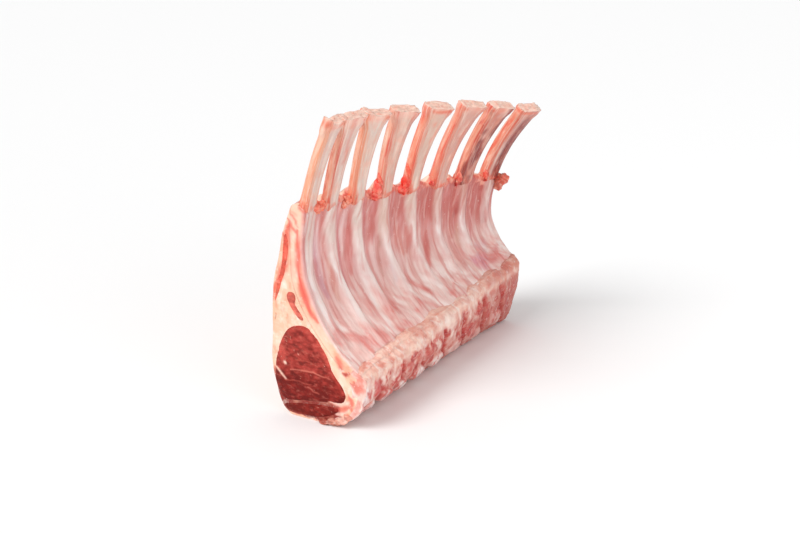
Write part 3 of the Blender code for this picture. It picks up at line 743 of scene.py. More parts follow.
def endPaint(x, z, t):
    # cream fat with orange-pink lean streaks; the streaks follow each cut end's own shape
    points = spot(x, t * 3.0, z)
    wobble = 0.10 * cloud(points * 1.6, 81, 3)
    u, v = x + wobble, z + 0.10 * cloud(points * 1.6, 85, 3)
    paint = coat(x, (244, 188, 158))
    lay(paint, climb(cloud(points * 0.8, 91, 3), -0.1, 0.7), (250, 212, 190), 0.7)
    lay(paint, ease(z, 8.5, 11.5), (248, 206, 184), 0.5)
    marbled = cloud(points * np.array([3.0, 1.0, 1.5]), 93, 4)
    lay(paint, climb(marbled, 0.22, 0.42), (240, 140, 112), 0.45)
    lay(paint, climb(-marbled, 0.22, 0.45), (254, 234, 220), 0.5)
    scale = 1.0 - 0.20 * t  # the shoulder's section is lower and set further right
    uu, vv = u - 0.55 * t * climb(v, 0.0, 8.0), v / scale
    lean = ease(vv, 1.42, 1.25) * ease(uu, -4.05, -3.9) * ease(uu, 0.35, 0.15)
    lean = lean * ease(vv, 0.02, 0.12) * ease(uu + vv * 0.6, -3.75, -3.55)
    lay(paint, lean, (134, 34, 26), 0.95)
    lay(paint, stroke(uu, vv, [(-3.98, 2.4), (-3.98, 1.7), (-3.8, 1.0)], 0.20), (160, 50, 40), 0.9)
    for colour, strength, width, path in loinStrokes:
        lay(paint, stroke(uu, vv, path, width), colour, strength)
    return paint


def makeFatCap():
    # a block along t, up a, and through b from the outer line to the core line and the meat
    (t, a, b), quads, triangles = cubeShell(fatBlock["counts"], plain=((2, 1),))
    leftX, leftZ = (mix(p, q, t) for p, q in zip(outerLoin(a), outerShoulder(a)))
    # the inner side runs up the core line and then up the back of the rib meat
    share = fatBlock["coreShare"]
    low = climb(a, 0.0, share)
    coreX, coreZ = (mix(p, q, t) for p, q in zip(*(pathThrough(end)(low) for end in coreEnds)))
    s = mix(0.03, meatLine(t) - 0.02, climb(a, share, 1.0))
    lineX, lineZ = innerLine(t, s)
    intoX, intoZ = intoMeat(t, s)
    depth = backDepth(t, s)
    above = ease(a, share - 0.05, share + 0.05)
    rightX = mix(coreX, lineX + intoX * depth, above)
    rightZ = mix(coreZ, lineZ + intoZ * depth, above)
    x, z = mix(leftX, rightX, b), mix(leftZ, rightZ, b)
    # the outer edges of both cut faces are rounded
    width = np.hypot(rightX - leftX, rightZ - leftZ)
    edge = fatBlock["edge"]
    fromOuter = climb(1.0 - b * width / edge, 0.0, 1.0)
    fromEnd = climb(1.0 - np.minimum(t, 1.0 - t) * spineLength / edge, 0.0, 1.0)
    nOuter = fromOuter * np.sqrt(1.0 - 0.5 * fromEnd ** 2)
    nEnd = fromEnd * np.sqrt(1.0 - 0.5 * fromOuter ** 2)
    inward = edge * (fromOuter - nOuter) / np.maximum(width, 1e-3)
    x, z = mix(x, rightX, inward), mix(z, rightZ, inward)
    points = toWorld(x, t, z)
    side = np.where(t < 0.5, 1.0, -1.0)
    points[:, 1] += side * edge * (fromEnd - nEnd)
    lumps = cloud(points * np.array([0.5, 0.30, 0.45]), 95, 3)
    points[:, 0] -= (1.0 - b) * fatBlock["lumps"] * lumps * climb(z, 0.0, 1.0)
    points = unevenness(points, rack["touch"], 71)
    points[:, 2] = np.maximum(points[:, 2], 0.0)
    section = endPaint(x, z, t)
    skin = coat(x, (246, 198, 170))
    patches = cloud(points * np.array([0.5, 0.22, 0.40]), 101, 4)
    lay(skin, ease(patches, 0.10, 0.45), (240, 160, 138), 0.6)
    lay(skin, ease(-patches, 0.15, 0.5), (252, 222, 200), 0.8)
    thin = cloud(points * np.array([1.0, 0.5, 2.2]), 107, 4)
    lay(skin, ease(thin, 0.25, 0.55) * ease(z, 5.5, 9.5), (226, 112, 96), 0.45)
    outside = 1.0 - ease(b * width, 0.05, 0.25)
    paint = mix(section, skin, (outside * climb(np.minimum(t, 1.0 - t), 0.0, 0.012))[:, None])
    flow = spot(points[:, 1] * 0.6, points[:, 2], points[:, 0])
    makePiece("fatCap", points, quads, triangles, paint, flow, bodyFat, "fat", ["fat_cap"])


# muscles, carried from one cut face to the other, standing a hair proud of the fat
muscles = {
    "eyeMuscle": {
        "node": "eye_muscle", "around": 200, "cap": 60, "proud": 0.055, "top": (162, 56, 48),
        "low": (108, 20, 14), "grain": 1.0,
        "loin": [(-2.20, 5.20), (-1.45, 5.05), (-0.98, 4.45), (-0.45, 3.60), (-0.10, 2.85),
                 (0.42, 2.20), (0.58, 1.65), (0.30, 1.38), (-0.60, 1.26), (-1.90, 1.04),
                 (-3.30, 0.84), (-3.78, 1.35), (-3.95, 2.20), (-3.70, 3.60), (-3.05, 4.80)],
        "shoulder": [(-2.20, 4.70), (-1.65, 4.45), (-1.25, 3.90), (-1.02, 3.30), (-0.95, 2.70),
                     (-0.98, 2.10), (-1.08, 1.60), (-1.35, 1.36), (-1.80, 1.26), (-2.40, 1.16),
                     (-3.05, 1.15), (-3.40, 1.55), (-3.55, 2.20), (-3.40, 3.30), (-2.85, 4.30)],
    },
    "backStrip": {
        "node": "back_strip", "around": 130, "cap": 18, "proud": 0.045, "top": (124, 28, 20),
        "low": (112, 26, 18), "grain": 0.8,
        "loin": [(-3.30, 0.56), (-2.40, 0.78), (-1.40, 0.94), (-0.50, 1.06), (0.15, 1.10),
                 (0.22, 0.92), (-0.20, 0.66), (-0.75, 0.42), (-1.35, 0.24), (-2.20, 0.17),
                 (-3.00, 0.20), (-3.36, 0.36)],
        "shoulder": [(-3.05, 0.62), (-2.50, 0.86), (-2.00, 0.95), (-1.60, 1.02), (-1.30, 1.00),
                     (-1.14, 0.80), (-1.20, 0.52), (-1.50, 0.32), (-2.00, 0.22),
                     (-2.50, 0.18), (-2.90, 0.24), (-3.14, 0.42)],
    },
    "capLean": {
        "node": "cap_lean", "around": 130, "cap": 12, "proud": 0.025, "top": (224, 92, 74),
        "low": (230, 108, 86), "grain": 0.5,
        "loin": [(-2.66, 10.15), (-2.84, 10.0), (-3.00, 9.0), (-3.22, 8.1), (-3.55, 7.2),
                 (-3.76, 6.3), (-3.58, 6.5), (-3.22, 7.35), (-2.92, 8.15), (-2.72, 9.0),
                 (-2.62, 9.6)],
        "shoulder": [(-2.12, 8.25), (-2.28, 8.1), (-2.52, 7.4), (-2.80, 6.7), (-3.08, 6.0),
                     (-3.30, 5.2), (-3.14, 5.4), (-2.86, 6.0), (-2.58, 6.6), (-2.34, 7.2),
                     (-2.14, 7.8)],
    },
    "innerLean": {
        "node": "inner_lean", "around": 110, "cap": 14, "proud": 0.030, "top": (218, 104, 88),
        "low": (226, 120, 102), "grain": 0.5,
        "loin": [(-2.95, 6.70), (-2.80, 6.98), (-2.48, 6.98), (-2.38, 6.70), (-2.46, 6.40),
                 (-2.28, 6.08), (-2.08, 5.80), (-1.98, 5.56), (-2.22, 5.56), (-2.52, 5.86),
                 (-2.80, 6.26)],
        "shoulder": [(-2.85, 5.90), (-2.66, 6.12), (-2.40, 6.08), (-2.30, 5.85), (-2.32, 5.60),
                     (-2.22, 5.38), (-2.12, 5.20), (-2.10, 5.02), (-2.35, 5.02),
                     (-2.55, 5.26), (-2.75, 5.56)],
    },
}
# marks on the eye's loin face: colour, strength, width, path in x and z
eyeStrokes = [
    ((246, 214, 196), 0.95, 0.13, [(-3.32, 2.92), (-3.22, 2.90)]),
    ((248, 210, 190), 0.95, 0.10, [(-3.95, 2.55), (-3.60, 2.35), (-3.22, 2.02)]),
    ((240, 176, 158), 0.80, 0.06, [(-2.42, 3.56), (-2.38, 3.53)]),
    ((232, 150, 130), 0.95, 0.045, [(-1.80, 1.88), (-1.45, 1.70), (-1.10, 1.60)]),
    ((214, 122, 104), 0.80, 0.05, [(-2.90, 2.62), (-1.40, 2.78), (-0.40, 2.60)]),
    ((210, 110, 92), 0.70, 0.04, [(-3.30, 1.95), (-2.40, 2.06), (-1.60, 2.02)]),
    ((204, 92, 76), 0.60, 0.05, [(-2.60, 3.20), (-1.80, 3.30), (-1.10, 3.16)]),
    ((214, 92, 80), 0.60, 0.28, [(-3.55, 4.1), (-3.50, 3.5), (-3.45, 3.2)]),
    ((216, 92, 78), 0.65, 0.20, [(-1.10, 4.6), (-0.75, 4.0), (-0.45, 3.3)]),
    ((206, 80, 68), 0.60, 0.14, [(-0.30, 3.0), (0.10, 2.5), (0.42, 2.0)]),
    ((200, 78, 66), 0.55, 0.12, [(-3.0, 4.75), (-2.2, 5.10), (-1.4, 4.95)]),
    ((120, 26, 20), 0.55, 0.45, [(-3.3, 1.7), (-2.0, 1.6), (-0.4, 1.75)]),
    ((140, 40, 32), 0.45, 0.30, [(-0.6, 2.5), (-0.1, 2.2), (0.3, 1.8)]),
]


def makeMuscle(name, look):
    around, cap, along = look["around"], look["cap"], 36
    angle = np.arange(around) / around
    ends = [spot(*pathThrough(look[end], closed=True)(angle)) for end in ("loin", "shoulder")]
    # rows: shrinking rings on the loin face, the wall between the cuts, rings on the far face
    rho = np.concatenate([np.linspace(0.0, 1.0, cap) ** 0.9, np.ones(along),
                          np.linspace(1.0, 0.0, cap) ** 0.9])
    t = np.concatenate([np.zeros(cap), np.linspace(0.004, 0.996, along), np.ones(cap)])[:, None]
    middle = [end.mean(0) for end in ends]
    outline = ends[0][None] * (1 - t[..., None]) + ends[1][None] * t[..., None]
    heart = middle[0] * (1 - t) + middle[1] * t
    flatPoints = heart[:, None] + (outline - heart[:, None]) * rho[:, None, None]
    x, z = flatPoints[..., 0], flatPoints[..., 1]
    tt = np.broadcast_to(t, x.shape)
    points = toWorld(x, tt, z)
    proud = look["proud"] * (1.0 - rho ** 10)[:, None]
    grain = 0.018 * cloud(points * 5.0, 121, 3) + 0.012 * cloud(points * 1.6, 127, 2)
    ridge = np.where(tt < 0.5, -1.0, 1.0) * (proud + grain * look["grain"])
    onFace = (tt < 0.003) | (tt > 0.997)
    points[..., 1] += np.where(onFace, ridge, 0.0)
    low, high = z.min(), z.max()
    paint = coat(x, look["top"])
    lay(paint, 1.0 - ease(z, mix(low, high, 0.15), mix(low, high, 0.62)), look["low"])
    mottle = cloud(spot(x * 3.2, tt * 9.0, z * 5.2), 131, 4)
    lay(paint, climb(mottle, 0.05, 0.5), [min(255, c * 1.18 + 16) for c in look["top"]], 0.55)
    lay(paint, climb(-mottle, 0.05, 0.5), [c * 0.72 for c in look["low"]], 0.45)
    if name == "eyeMuscle":
        warp = 0.05 * cloud(spot(x * 2.0, tt, z * 2.0), 137, 2)
        for colour, strength, width, path in eyeStrokes:
            lay(paint, stroke(x + warp, z + warp, path, width, 0.3) * (tt < 0.3), colour, strength)
    shell = tubeShell(len(rho), around)
    flow = spot(x, points[..., 1] * 0.2, z * 2.2)
    makePiece(name, tubePoints(points), *shell, tubePoints(paint), tubePoints(flow), leanMeat,
              "lean", [look["node"]])


def ribPoints(index, s, angle, rho):
    # rounded section with its inner side on the inner line, shrunk towards its middle by rho
    t, u = ribSpine(index), alongRack(index)
    flare = climb(s, ribForm["flareFrom"], 1.0) ** ribForm["flarePower"]
    bare = climb(s, ribForm["bareFrom"], meatLine(t))
    out = ease(s, meatLine(t) - 0.055, meatLine(t) - 0.005)  # it comes out of the meat here
    lip = 1.0 + mix(*ribs["lips"], u) * ease(s, 0.93, 0.985)  # the sawn tip's flared rim
    width = (mix(*ribForm["widths"], u) + ribForm["flare"] * flare) * mix(0.62, 1.0, out) * lip
    thick = mix(ribForm["buried"], mix(*ribForm["thicknesses"], u), bare)
    turn = np.radians(mix(*ribForm["twists"], u) * bare
                      + ribForm["tipTwist"] * np.sin(np.pi * u) * flare)
    lineX, lineZ = innerLine(np.full_like(s, t), s)
    intoX, intoZ = intoMeat(np.full_like(s, t), np.minimum(s, 0.98))
    square = mix(*ribForm["corners"], climb(s, 0.75, 1.0))
    across = np.sign(np.cos(angle)) * np.abs(np.cos(angle)) ** square * 0.53 * width * rho
    deep = np.sign(np.sin(angle)) * np.abs(np.sin(angle)) ** square * 0.53 * thick * rho
    down = 0.5 * thick + 0.17 * (1.0 - out) + deep * np.cos(turn) - across * np.sin(turn)
    y = ribY(index, s) + across * np.cos(turn) + deep * np.sin(turn)
    x, z = lineX + intoX * down, lineZ + intoZ * down
    return spot(x + spineX, y + spineStart, z), across / width, deep / thick


def makeRib(index):
    # rings of ribPoints up the bone and over its sawn tip, pushed out and lifted by noise
    rows, cap, around = ribs["rows"], ribs["cap"], ribs["around"]
    s = np.concatenate([np.full(5, ribForm["foot"]), np.linspace(ribForm["foot"], 1.0, rows),
                        np.full(cap, 1.0)])[:, None]
    rho = np.concatenate([np.linspace(0.0, 0.9, 5), np.ones(rows), np.linspace(0.97, 0.0, cap)])
    rho = rho[:, None]
    angle = 2.0 * np.pi * np.arange(around)[None] / around
    s, rho, angle = np.broadcast_arrays(s, rho, angle)
    points, across, deep = ribPoints(index, s, angle, rho)
    seed = 200 + 17 * index
    # long low ridges down the bone and soft dents
    ring = spot(np.cos(angle) * 2.2, np.sin(angle) * 2.2 + index * 5.0, s * 5.0)
    shallow = cloud(ring, seed, 3)
    outward = points - points.mean(1, keepdims=True)
    outward /= np.maximum(np.linalg.norm(outward, axis=-1, keepdims=True), 1e-6)
    bare = ease(s, meatLine(ribSpine(index)) - 0.06, meatLine(ribSpine(index)))
    points = points + outward * (ribForm["dents"] * shallow * bare * (rho > 0.5))[..., None]
    # a ragged collar round the sawn tip, and tissue clinging where the bone leaves the meat
    onSide = rho > 0.99
    rim = ease(s, 0.935, 0.985) * onSide
    even, uneven = ribForm["collar"]
    ragged = even + uneven * cloud(ring * np.array([1.5, 1.5, 5.0]), seed + 5, 3)
    points = points + outward * (rim * ragged)[..., None]
    fromMeat = s - meatLine(ribSpine(index))
    fine = spot(np.cos(angle) * 2.6, np.sin(angle) * 2.6 + index * 5.0, s * 34.0)
    scraps = cloud(fine, seed + 7, 4)
    tissue = hump(fromMeat, 0.0, 0.035) * onSide * climb(-across * 2.0, -0.4, 0.8)
    tissue = ribForm["tissue"] * tissue * climb(scraps, -0.1, 0.5)
    points = points + outward * tissue[..., None]
    step = np.array(innerLine(ribSpine(index), 1.0)) - np.array(innerLine(ribSpine(index), 0.97))
    step /= np.linalg.norm(step)
    atTip = ease(s, 0.95, 1.0)
    coarse, finer = ribForm["tipRough"]
    rough = coarse * cloud(points * 2.6, seed + 9, 3) + finer * cloud(points * 9.0, seed + 13, 2)
    lift = atTip * rough
    if index == 0:  # a spur of bone at the loin-side corner, the rest scooped
        spur = ribForm["spur"] * ease(-across * 2.0, 0.35, 1.0)
        lift = lift + atTip * (spur - ribForm["scoop"])
    if index == 2:  # a round knob on the loin side of the tip
        knobOut, knobUp = ribForm["knob"]
        knob = hump(s, 0.978, 0.020) * ease(-across * 2.0, 0.3, 0.9) * (rho > 0.5)
        points = points + outward * (knobOut * knob)[..., None]
        lift = lift + atTip * knobUp * ease(-across * 2.0, 0.2, 0.7)
    points[..., 0] += step[0] * lift
    points[..., 2] += step[1] * lift

    near = climb(-across * 2.0, 0.45, 0.95) * (1.0 - climb(np.abs(deep) * 2 - 0.6, 0.0, 0.4) * 0.6)
    away = climb(across * 2.0, 0.55, 0.98)
    if index == 7:  # the last bone's painted shade on its far side, over dark red tissue, reaches well onto its inner face
        away = ease(across * 2.0, -0.45, -0.05)
    inner = climb(-deep * 2.0, 0.2, 0.8)
    # the side towards the loin is painted lighter as its lit side, the side towards the shoulder
    # darker as painted shade
    paint = coat(s, ribs["near"][index])
    lay(paint, inner, ribs["inner"][index])
    lay(paint, away, ribs["far"][index], 0.85)
    lay(paint, near, ribs["near"][index], 0.9)
    along = cloud(spot(np.cos(angle) * 3.4, np.sin(angle) * 3.4, s * 7.0), seed + 21, 4)
    lay(paint, climb(along, 0.1, 0.6) * (0.35 + 0.65 * near), ribs["line"][index], 0.7)
    lay(paint, climb(-along, 0.1, 0.6), (253, 232, 216), 0.45)
    # a darker line where the near side turns into the inner face
    seam = hump(across * 2.0, -0.86, 0.10) * (deep < 0.1)
    seam = seam * climb(cloud(spot(s * 9.0, 0.0, index), seed + 31, 2), -0.4, 0.4)
    lay(paint, seam, ribs["line"][index], 0.75)
    # pale spongy sawn tip with a pink rim
    onCap = (rho < 0.985) & (s > 0.5)
    spongy = cloud(points * 5.0, seed + 41, 3)
    tip = coat(s, (247, 208, 190))
    lay(tip, climb(spongy, 0.0, 0.5), (240, 160, 140), 0.55)
    lay(tip, climb(rho, 0.75, 1.0), (250, 226, 212), 0.6)
    paint = np.where(onCap[..., None], tip, paint)
    lay(paint, ease(s, 0.955, 0.99) * onSide, (246, 190, 172), 0.6)
    lay(paint, hump(s, 0.986, 0.009) * onSide * climb(shallow, -0.2, 0.2), (222, 92, 66), 0.65)
    # orange-red scraps climb from the meat, most of all up the side towards the loin
    reach = mix(0.004, 0.11, climb(-across * 2.0, 0.1, 0.95))
    scrap = (1.0 - ease(fromMeat, 0.0, reach)) * climb(scraps, -0.25, 0.25)
    lay(paint, scrap * onSide, (232, 96, 72), 0.8)
    # thin red and pale lines run down the bone
    lines = spot(np.cos(angle) * 6.5, np.sin(angle) * 6.5 + index * 3.0, s * 6.0)
    veins = cloud(lines, seed + 61, 3)
    reds = climb(veins, 0.16, 0.34) * onSide * mix(0.35, 1.0, near)
    lay(paint, reds, ribs["line"][index], 0.8)
    lay(paint, climb(-veins, 0.20, 0.40) * onSide, (252, 232, 218), 0.45)
    if index == 6:  # dark red muscle remnants on this bone's inner face, painted darker as shade
        blotch = cloud(spot(across * 2.0, deep * 2.0, s * 7.0), seed + 51, 3)
        lay(paint, climb(blotch, 0.0, 0.3) * inner * onSide, (126, 32, 30), 0.8)
    flow = spot(angle * 1.1, s * 13.0, rho * 0.6 + index * 3.0)
    makePiece("rib%d" % (index + 1), tubePoints(points), *tubeShell(len(s), around),
              tubePoints(paint), tubePoints(flow), ribBone, "bone", ["rib_%d" % (index + 1)])


# backbone: sawn through lengthwise, a block of bone for each rib with gristle between; the
# sawn face and the hidden one behind it are given in x and z at the loin and the shoulder
backbone = {
    "sawn": (((-0.02, 0.0), (0.75, 0.50), (1.40, 1.25), (1.78, 2.10), (1.82, 2.85), (1.55, 3.20)),
             ((0.0, 0.0), (0.28, 0.80), (0.52, 1.75), (0.74, 2.95), (0.72, 3.95), (0.52, 4.36))),
    "hidden": (((-0.50, 0.0), (-0.10, 0.48), (0.58, 0.98), (0.92, 1.60), (0.94, 2.25),
                (0.76, 2.95), (0.95, 3.42)),
               ((-0.80, 0.0), (-0.74, 0.55), (-0.62, 1.2), (-0.58, 2.0), (-0.60, 3.0),
                (-0.66, 4.10), (-0.25, 4.52))),
    "counts": (380, 84, 22),
    "height": 4.6,
    # how far lumps, lobes, grooves, the low part and pits push the face in or out
    "lumps": 0.11, "lobes": 0.09, "grooves": 0.19, "low": 0.07, "pits": 0.03,
}
# marks on the sawn strip: colour, strength, width in centimetres, path in t and height share
chineStrokes = [
    ((250, 242, 238), 0.90, 0.34, [(0.000, 0.80), (0.015, 0.65), (0.03, 0.50)]),
    ((196, 44, 36), 0.85, 0.26, [(0.060, 0.62), (0.085, 0.56), (0.12, 0.52), (0.15, 0.48)]),
    ((170, 30, 26), 0.85, 0.14, [(0.030, 0.42), (0.045, 0.25), (0.06, 0.05)]),
    ((202, 46, 38), 0.85, 0.24, [(0.195, 0.76), (0.215, 0.70), (0.20, 0.56), (0.19, 0.48)]),
    ((206, 70, 60), 0.80, 0.20, [(0.250, 0.68), (0.275, 0.58), (0.29, 0.50)]),
    ((200, 60, 52), 0.80, 0.22, [(0.370, 0.62), (0.395, 0.52), (0.41, 0.42)]),
    ((206, 76, 66), 0.70, 0.16, [(0.400, 0.74), (0.415, 0.70)]),
    ((196, 60, 52), 0.80, 0.20, [(0.470, 0.58), (0.495, 0.50), (0.515, 0.44)]),
    ((198, 58, 52), 0.80, 0.24, [(0.630, 0.48), (0.655, 0.40), (0.675, 0.32)]),
    ((206, 96, 84), 0.70, 0.22, [(0.700, 0.40), (0.730, 0.26), (0.760, 0.14)]),
    ((194, 70, 62), 0.75, 0.30, [(0.780, 0.50), (0.805, 0.42), (0.820, 0.34)]),
    ((204, 112, 100), 0.60, 0.24, [(0.790, 0.76), (0.820, 0.74)]),
    ((186, 64, 56), 0.80, 0.30, [(0.915, 0.56), (0.935, 0.46), (0.955, 0.30), (0.97, 0.20)]),
    ((196, 110, 98), 0.60, 0.40, [(0.960, 0.72), (0.975, 0.62)]),
    ((248, 226, 214), 0.85, 0.22, [(0.430, 0.90), (0.520, 0.92), (0.60, 0.93), (0.68, 0.93)]),
]
# pale gristle lobes along the foot of the sawn face: t, height share, half length, half height
lobes = ((0.012, 0.34, 0.42, 1.10), (0.098, 0.24, 0.58, 0.80), (0.182, 0.26, 0.62, 0.86),
         (0.268, 0.24, 0.60, 0.84), (0.372, 0.23, 0.80, 0.82), (0.492, 0.22, 0.92, 0.80),
         (0.612, 0.20, 0.92, 0.72), (0.742, 0.17, 0.90, 0.60), (0.885, 0.21, 0.95, 0.74))


def lobeField(y, h):
    # 1 on the slanting lobes, falling steeply at their rims
    best = np.zeros_like(y)
    for t, share, halfLength, halfHeight in lobes:
        high = share * backbone["height"]
        along = (y - t * spineLength - 0.35 * (high - h)) / halfLength
        up = (h - high) / halfHeight
        best = np.maximum(best, 1.0 - ease(np.hypot(along, up), 0.70, 1.08))
    return best


def chineGaps(y, h):
    # 1 in the slanting grooves between one vertebra and the next
    groove = np.zeros_like(y)
    for index in range(ribCount - 1):
        middle = 0.5 * (ribSpine(index) + ribSpine(index + 1)) * spineLength
        groove = np.maximum(groove, hump(y - middle - 0.45 * (2.6 - h), 0.0, 0.19))
    return groove


def makeBackbone():
    # a block along t, up a, and through b from the hidden face to the sawn one
    (t, a, b), quads, triangles = cubeShell(backbone["counts"], plain=((2, 0),))
    sides = []
    for side in ("hidden", "sawn"):
        ends = [pathThrough(end)(a) for end in backbone[side]]
        sides.append([mix(p, q, t) for p, q in zip(*ends)])
    x, z = mix(sides[0][0], sides[1][0], b), mix(sides[0][1], sides[1][1], b)
    # rounded top
    topRound = climb(a, 0.88, 1.0) ** 2
    x = mix(x, mix(sides[0][0], sides[1][0], 0.5), 0.35 * topRound * np.abs(2 * b - 1) ** 3)
    points = toWorld(x, t, z)
    y, h = t * spineLength, a * backbone["height"]
    warp = spot(y * 0.9, h * 0.9, 0.0)
    y, h = y + 0.20 * cloud(warp, 331, 3), h + 0.20 * cloud(warp, 337, 3)
    lobe = lobeField(y, h) * mix(1.0, 0.45, ease(t, 0.42, 0.62))
    groove = chineGaps(y, h) * (1.0 - lobe) * (1.0 - ease(a, 0.70, 0.86))
    lumps = cloud(spot(y * 1.1, h * 1.1, 5.0), 301, 3)
    pits = cloud(points * 3.4, 311, 4)
    low = 1.0 - ease(a, 0.40, 0.62)
    push = backbone["lumps"] * lumps + backbone["lobes"] * lobe - backbone["grooves"] * groove
    push = push - backbone["low"] * low * (1.0 - lobe) + backbone["pits"] * pits
    points[:, 0] += b * push
    # the foot is scalloped between the lobes
    points[:, 2] += b * climb(a, 0.30, 0.0) * 0.15 * (1.0 - lobe)
    crown = cloud(points * np.array([1.0, 0.8, 1.0]), 321, 2)
    points[:, 2] += topRound * (0.12 * crown + 0.02 * pits)
    points = unevenness(points, 0.03, 71)
    points[:, 2] = np.maximum(points[:, 2], 0.0)
    paint = coat(t, (226, 172, 156))
    lay(paint, ease(a, 0.66, 0.88), (236, 180, 164), 0.8)
    lay(paint, ease(t, 0.55, 1.0) * ease(a, 0.2, 0.5), (204, 132, 116), 0.7)
    slant = y + 0.45 * h + 0.5 * cloud(spot(y * 0.5, h * 0.5, 0.0), 343, 2)
    spots = cloud(spot(slant * 1.7, h * 0.75, b * 1.5), 341, 4)
    shreddy = cloud(spot(slant * 3.6, h * 1.3, b * 2.0), 347, 4)
    lay(paint, climb(spots, 0.02, 0.30), (248, 224, 212), 0.75)
    face = 1.0 - ease(a, 0.74, 0.88)
    lay(paint, climb(-spots, 0.14, 0.36) * face, (204, 88, 76), 0.65)
    lay(paint, climb(shreddy, 0.12, 0.28) * face, (196, 52, 44), 0.75)
    lay(paint, climb(shreddy, 0.34, 0.44) * face, (160, 24, 22), 0.75)
    # the fatty ridge on top has fine threads of its own
    thread = cloud(points * np.array([3.6, 1.5, 3.6]), 349, 4)
    lay(paint, climb(thread, 0.10, 0.35) * (1.0 - face), (252, 228, 212), 0.65)
    lay(paint, climb(-thread, 0.14, 0.38) * (1.0 - face), (208, 96, 78), 0.55)
    lay(paint, climb(-shreddy, 0.24, 0.40), (252, 238, 230), 0.6)
    lay(paint, low * (1.0 - lobe) * climb(spots, -0.5, 0.1), (206, 104, 92), 0.5)
    lay(paint, ease(t, 0.62, 0.95) * climb(spots, -0.6, 0.2), (182, 80, 66), 0.75)
    lay(paint, groove * climb(shreddy, -0.5, -0.1), (176, 40, 34), 0.9)
    # a broken red line where the sawn blocks meet the fatty ridge
    under = hump(a + 0.04 * spots, mix(0.70, 0.62, t), 0.035) * climb(shreddy, -0.3, 0.1)
    lay(paint, under, (192, 60, 50), 0.75)
    lay(paint, hump(a + 0.04 * spots, 0.84, 0.05) * climb(-shreddy, -0.3, 0.2), (250, 218, 200), 0.6)
    for colour, strength, width, path in chineStrokes:
        line = [(p * spineLength, q * backbone["height"]) for p, q in path]
        lay(paint, stroke(y, h, line, width) * (1.0 - 0.6 * lobe), colour, strength)
    lay(paint, ease(a, 0.74, 0.86) * climb(shreddy, -0.5, 0.1), (242, 190, 168), 0.40)
    lay(paint, lobe, (250, 238, 234), 0.85)
    # white bone at the loin end, with a dark red hollow behind it
    white = hump(y + 0.25 * h, 0.75, 0.55) * ease(a, 0.10, 0.25) * (1.0 - ease(a, 0.78, 0.9))
    lay(paint, white, (250, 238, 234), 0.85)
    lay(paint, stroke(y, h, [(1.0, 3.6), (1.5, 3.0), (1.6, 2.4)], 0.30), (208, 84, 82), 0.8)
    lay(paint, stroke(y, h, [(0.9, 2.2), (1.15, 1.3), (1.35, 0.3)], 0.14), (164, 26, 22), 0.9)
    lay(paint, stroke(y, h, [(0.1, 3.5), (0.5, 3.1), (0.8, 2.6)], 0.12), (196, 60, 54), 0.7)
    lay(paint, lobe * climb(-spots, 0.1, 0.3), (216, 150, 146), 0.6)
    lay(paint, lobe * climb(shreddy, 0.22, 0.32), (204, 70, 60), 0.7)
    # the loin end of the bone is a white block with red round it
    end = 1.0 - climb(t, 0.0, 0.004)
    block = coat(t, (234, 176, 162))
    lay(block, climb(spots, -0.25, 0.2), (250, 228, 220), 0.85)
    lay(block, climb(-spots, 0.1, 0.4), (220, 108, 94), 0.7)
    lay(block, 1.0 - ease(a, 0.05, 0.40), (208, 112, 98), 0.5)
    paint = mix(paint, block, end[:, None])
    makePiece("backbone", points, quads, triangles, paint, spot(y, h, b), sawnBone, "backbone",
              ["vertebra_%d" % (index + 1) for index in range(ribCount)])


def makeBlobs(name, blobs, material, slot):
    # each blob is a ball stretched along three directions and roughened by noise
    rows, around = 22, 30
    allPoints, allQuads, allTriangles, allPaint = [], [], [], []
    count = 0
    quads, triangles = tubeShell(rows, around)
    polar = np.linspace(0.0, np.pi, rows)[:, None]
    turn = 2.0 * np.pi * np.arange(around)[None] / around
    ball = spot(np.sin(polar) * np.cos(turn), np.sin(polar) * np.sin(turn), np.cos(polar))
    ball = tubePoints(ball)
    for number, (middle, size, colour, rough) in enumerate(blobs):
        bumps = cloud(ball * 1.7 + number * 3.7, 401 + number, 3)
        made = middle + ball * np.array(size) * (1.0 + rough * bumps)[:, None]
        made[:, 2] = np.maximum(made[:, 2], 0.0)
        paint = coat(bumps, colour)
        lay(paint, climb(bumps, 0.0, 0.5), (248, 190, 168), 0.5)
        lay(paint, climb(-bumps, 0.1, 0.6), [c * 0.8 for c in colour], 0.5)
        allPoints.append(made)
        allQuads.append(quads + count)
        allTriangles.append(triangles + count)
        allPaint.append(paint)
        count += len(ball)
    points = np.vstack(allPoints)
    makePiece(name, points, np.vstack(allQuads), np.vstack(allTriangles), np.vstack(allPaint),
              points, material, slot)


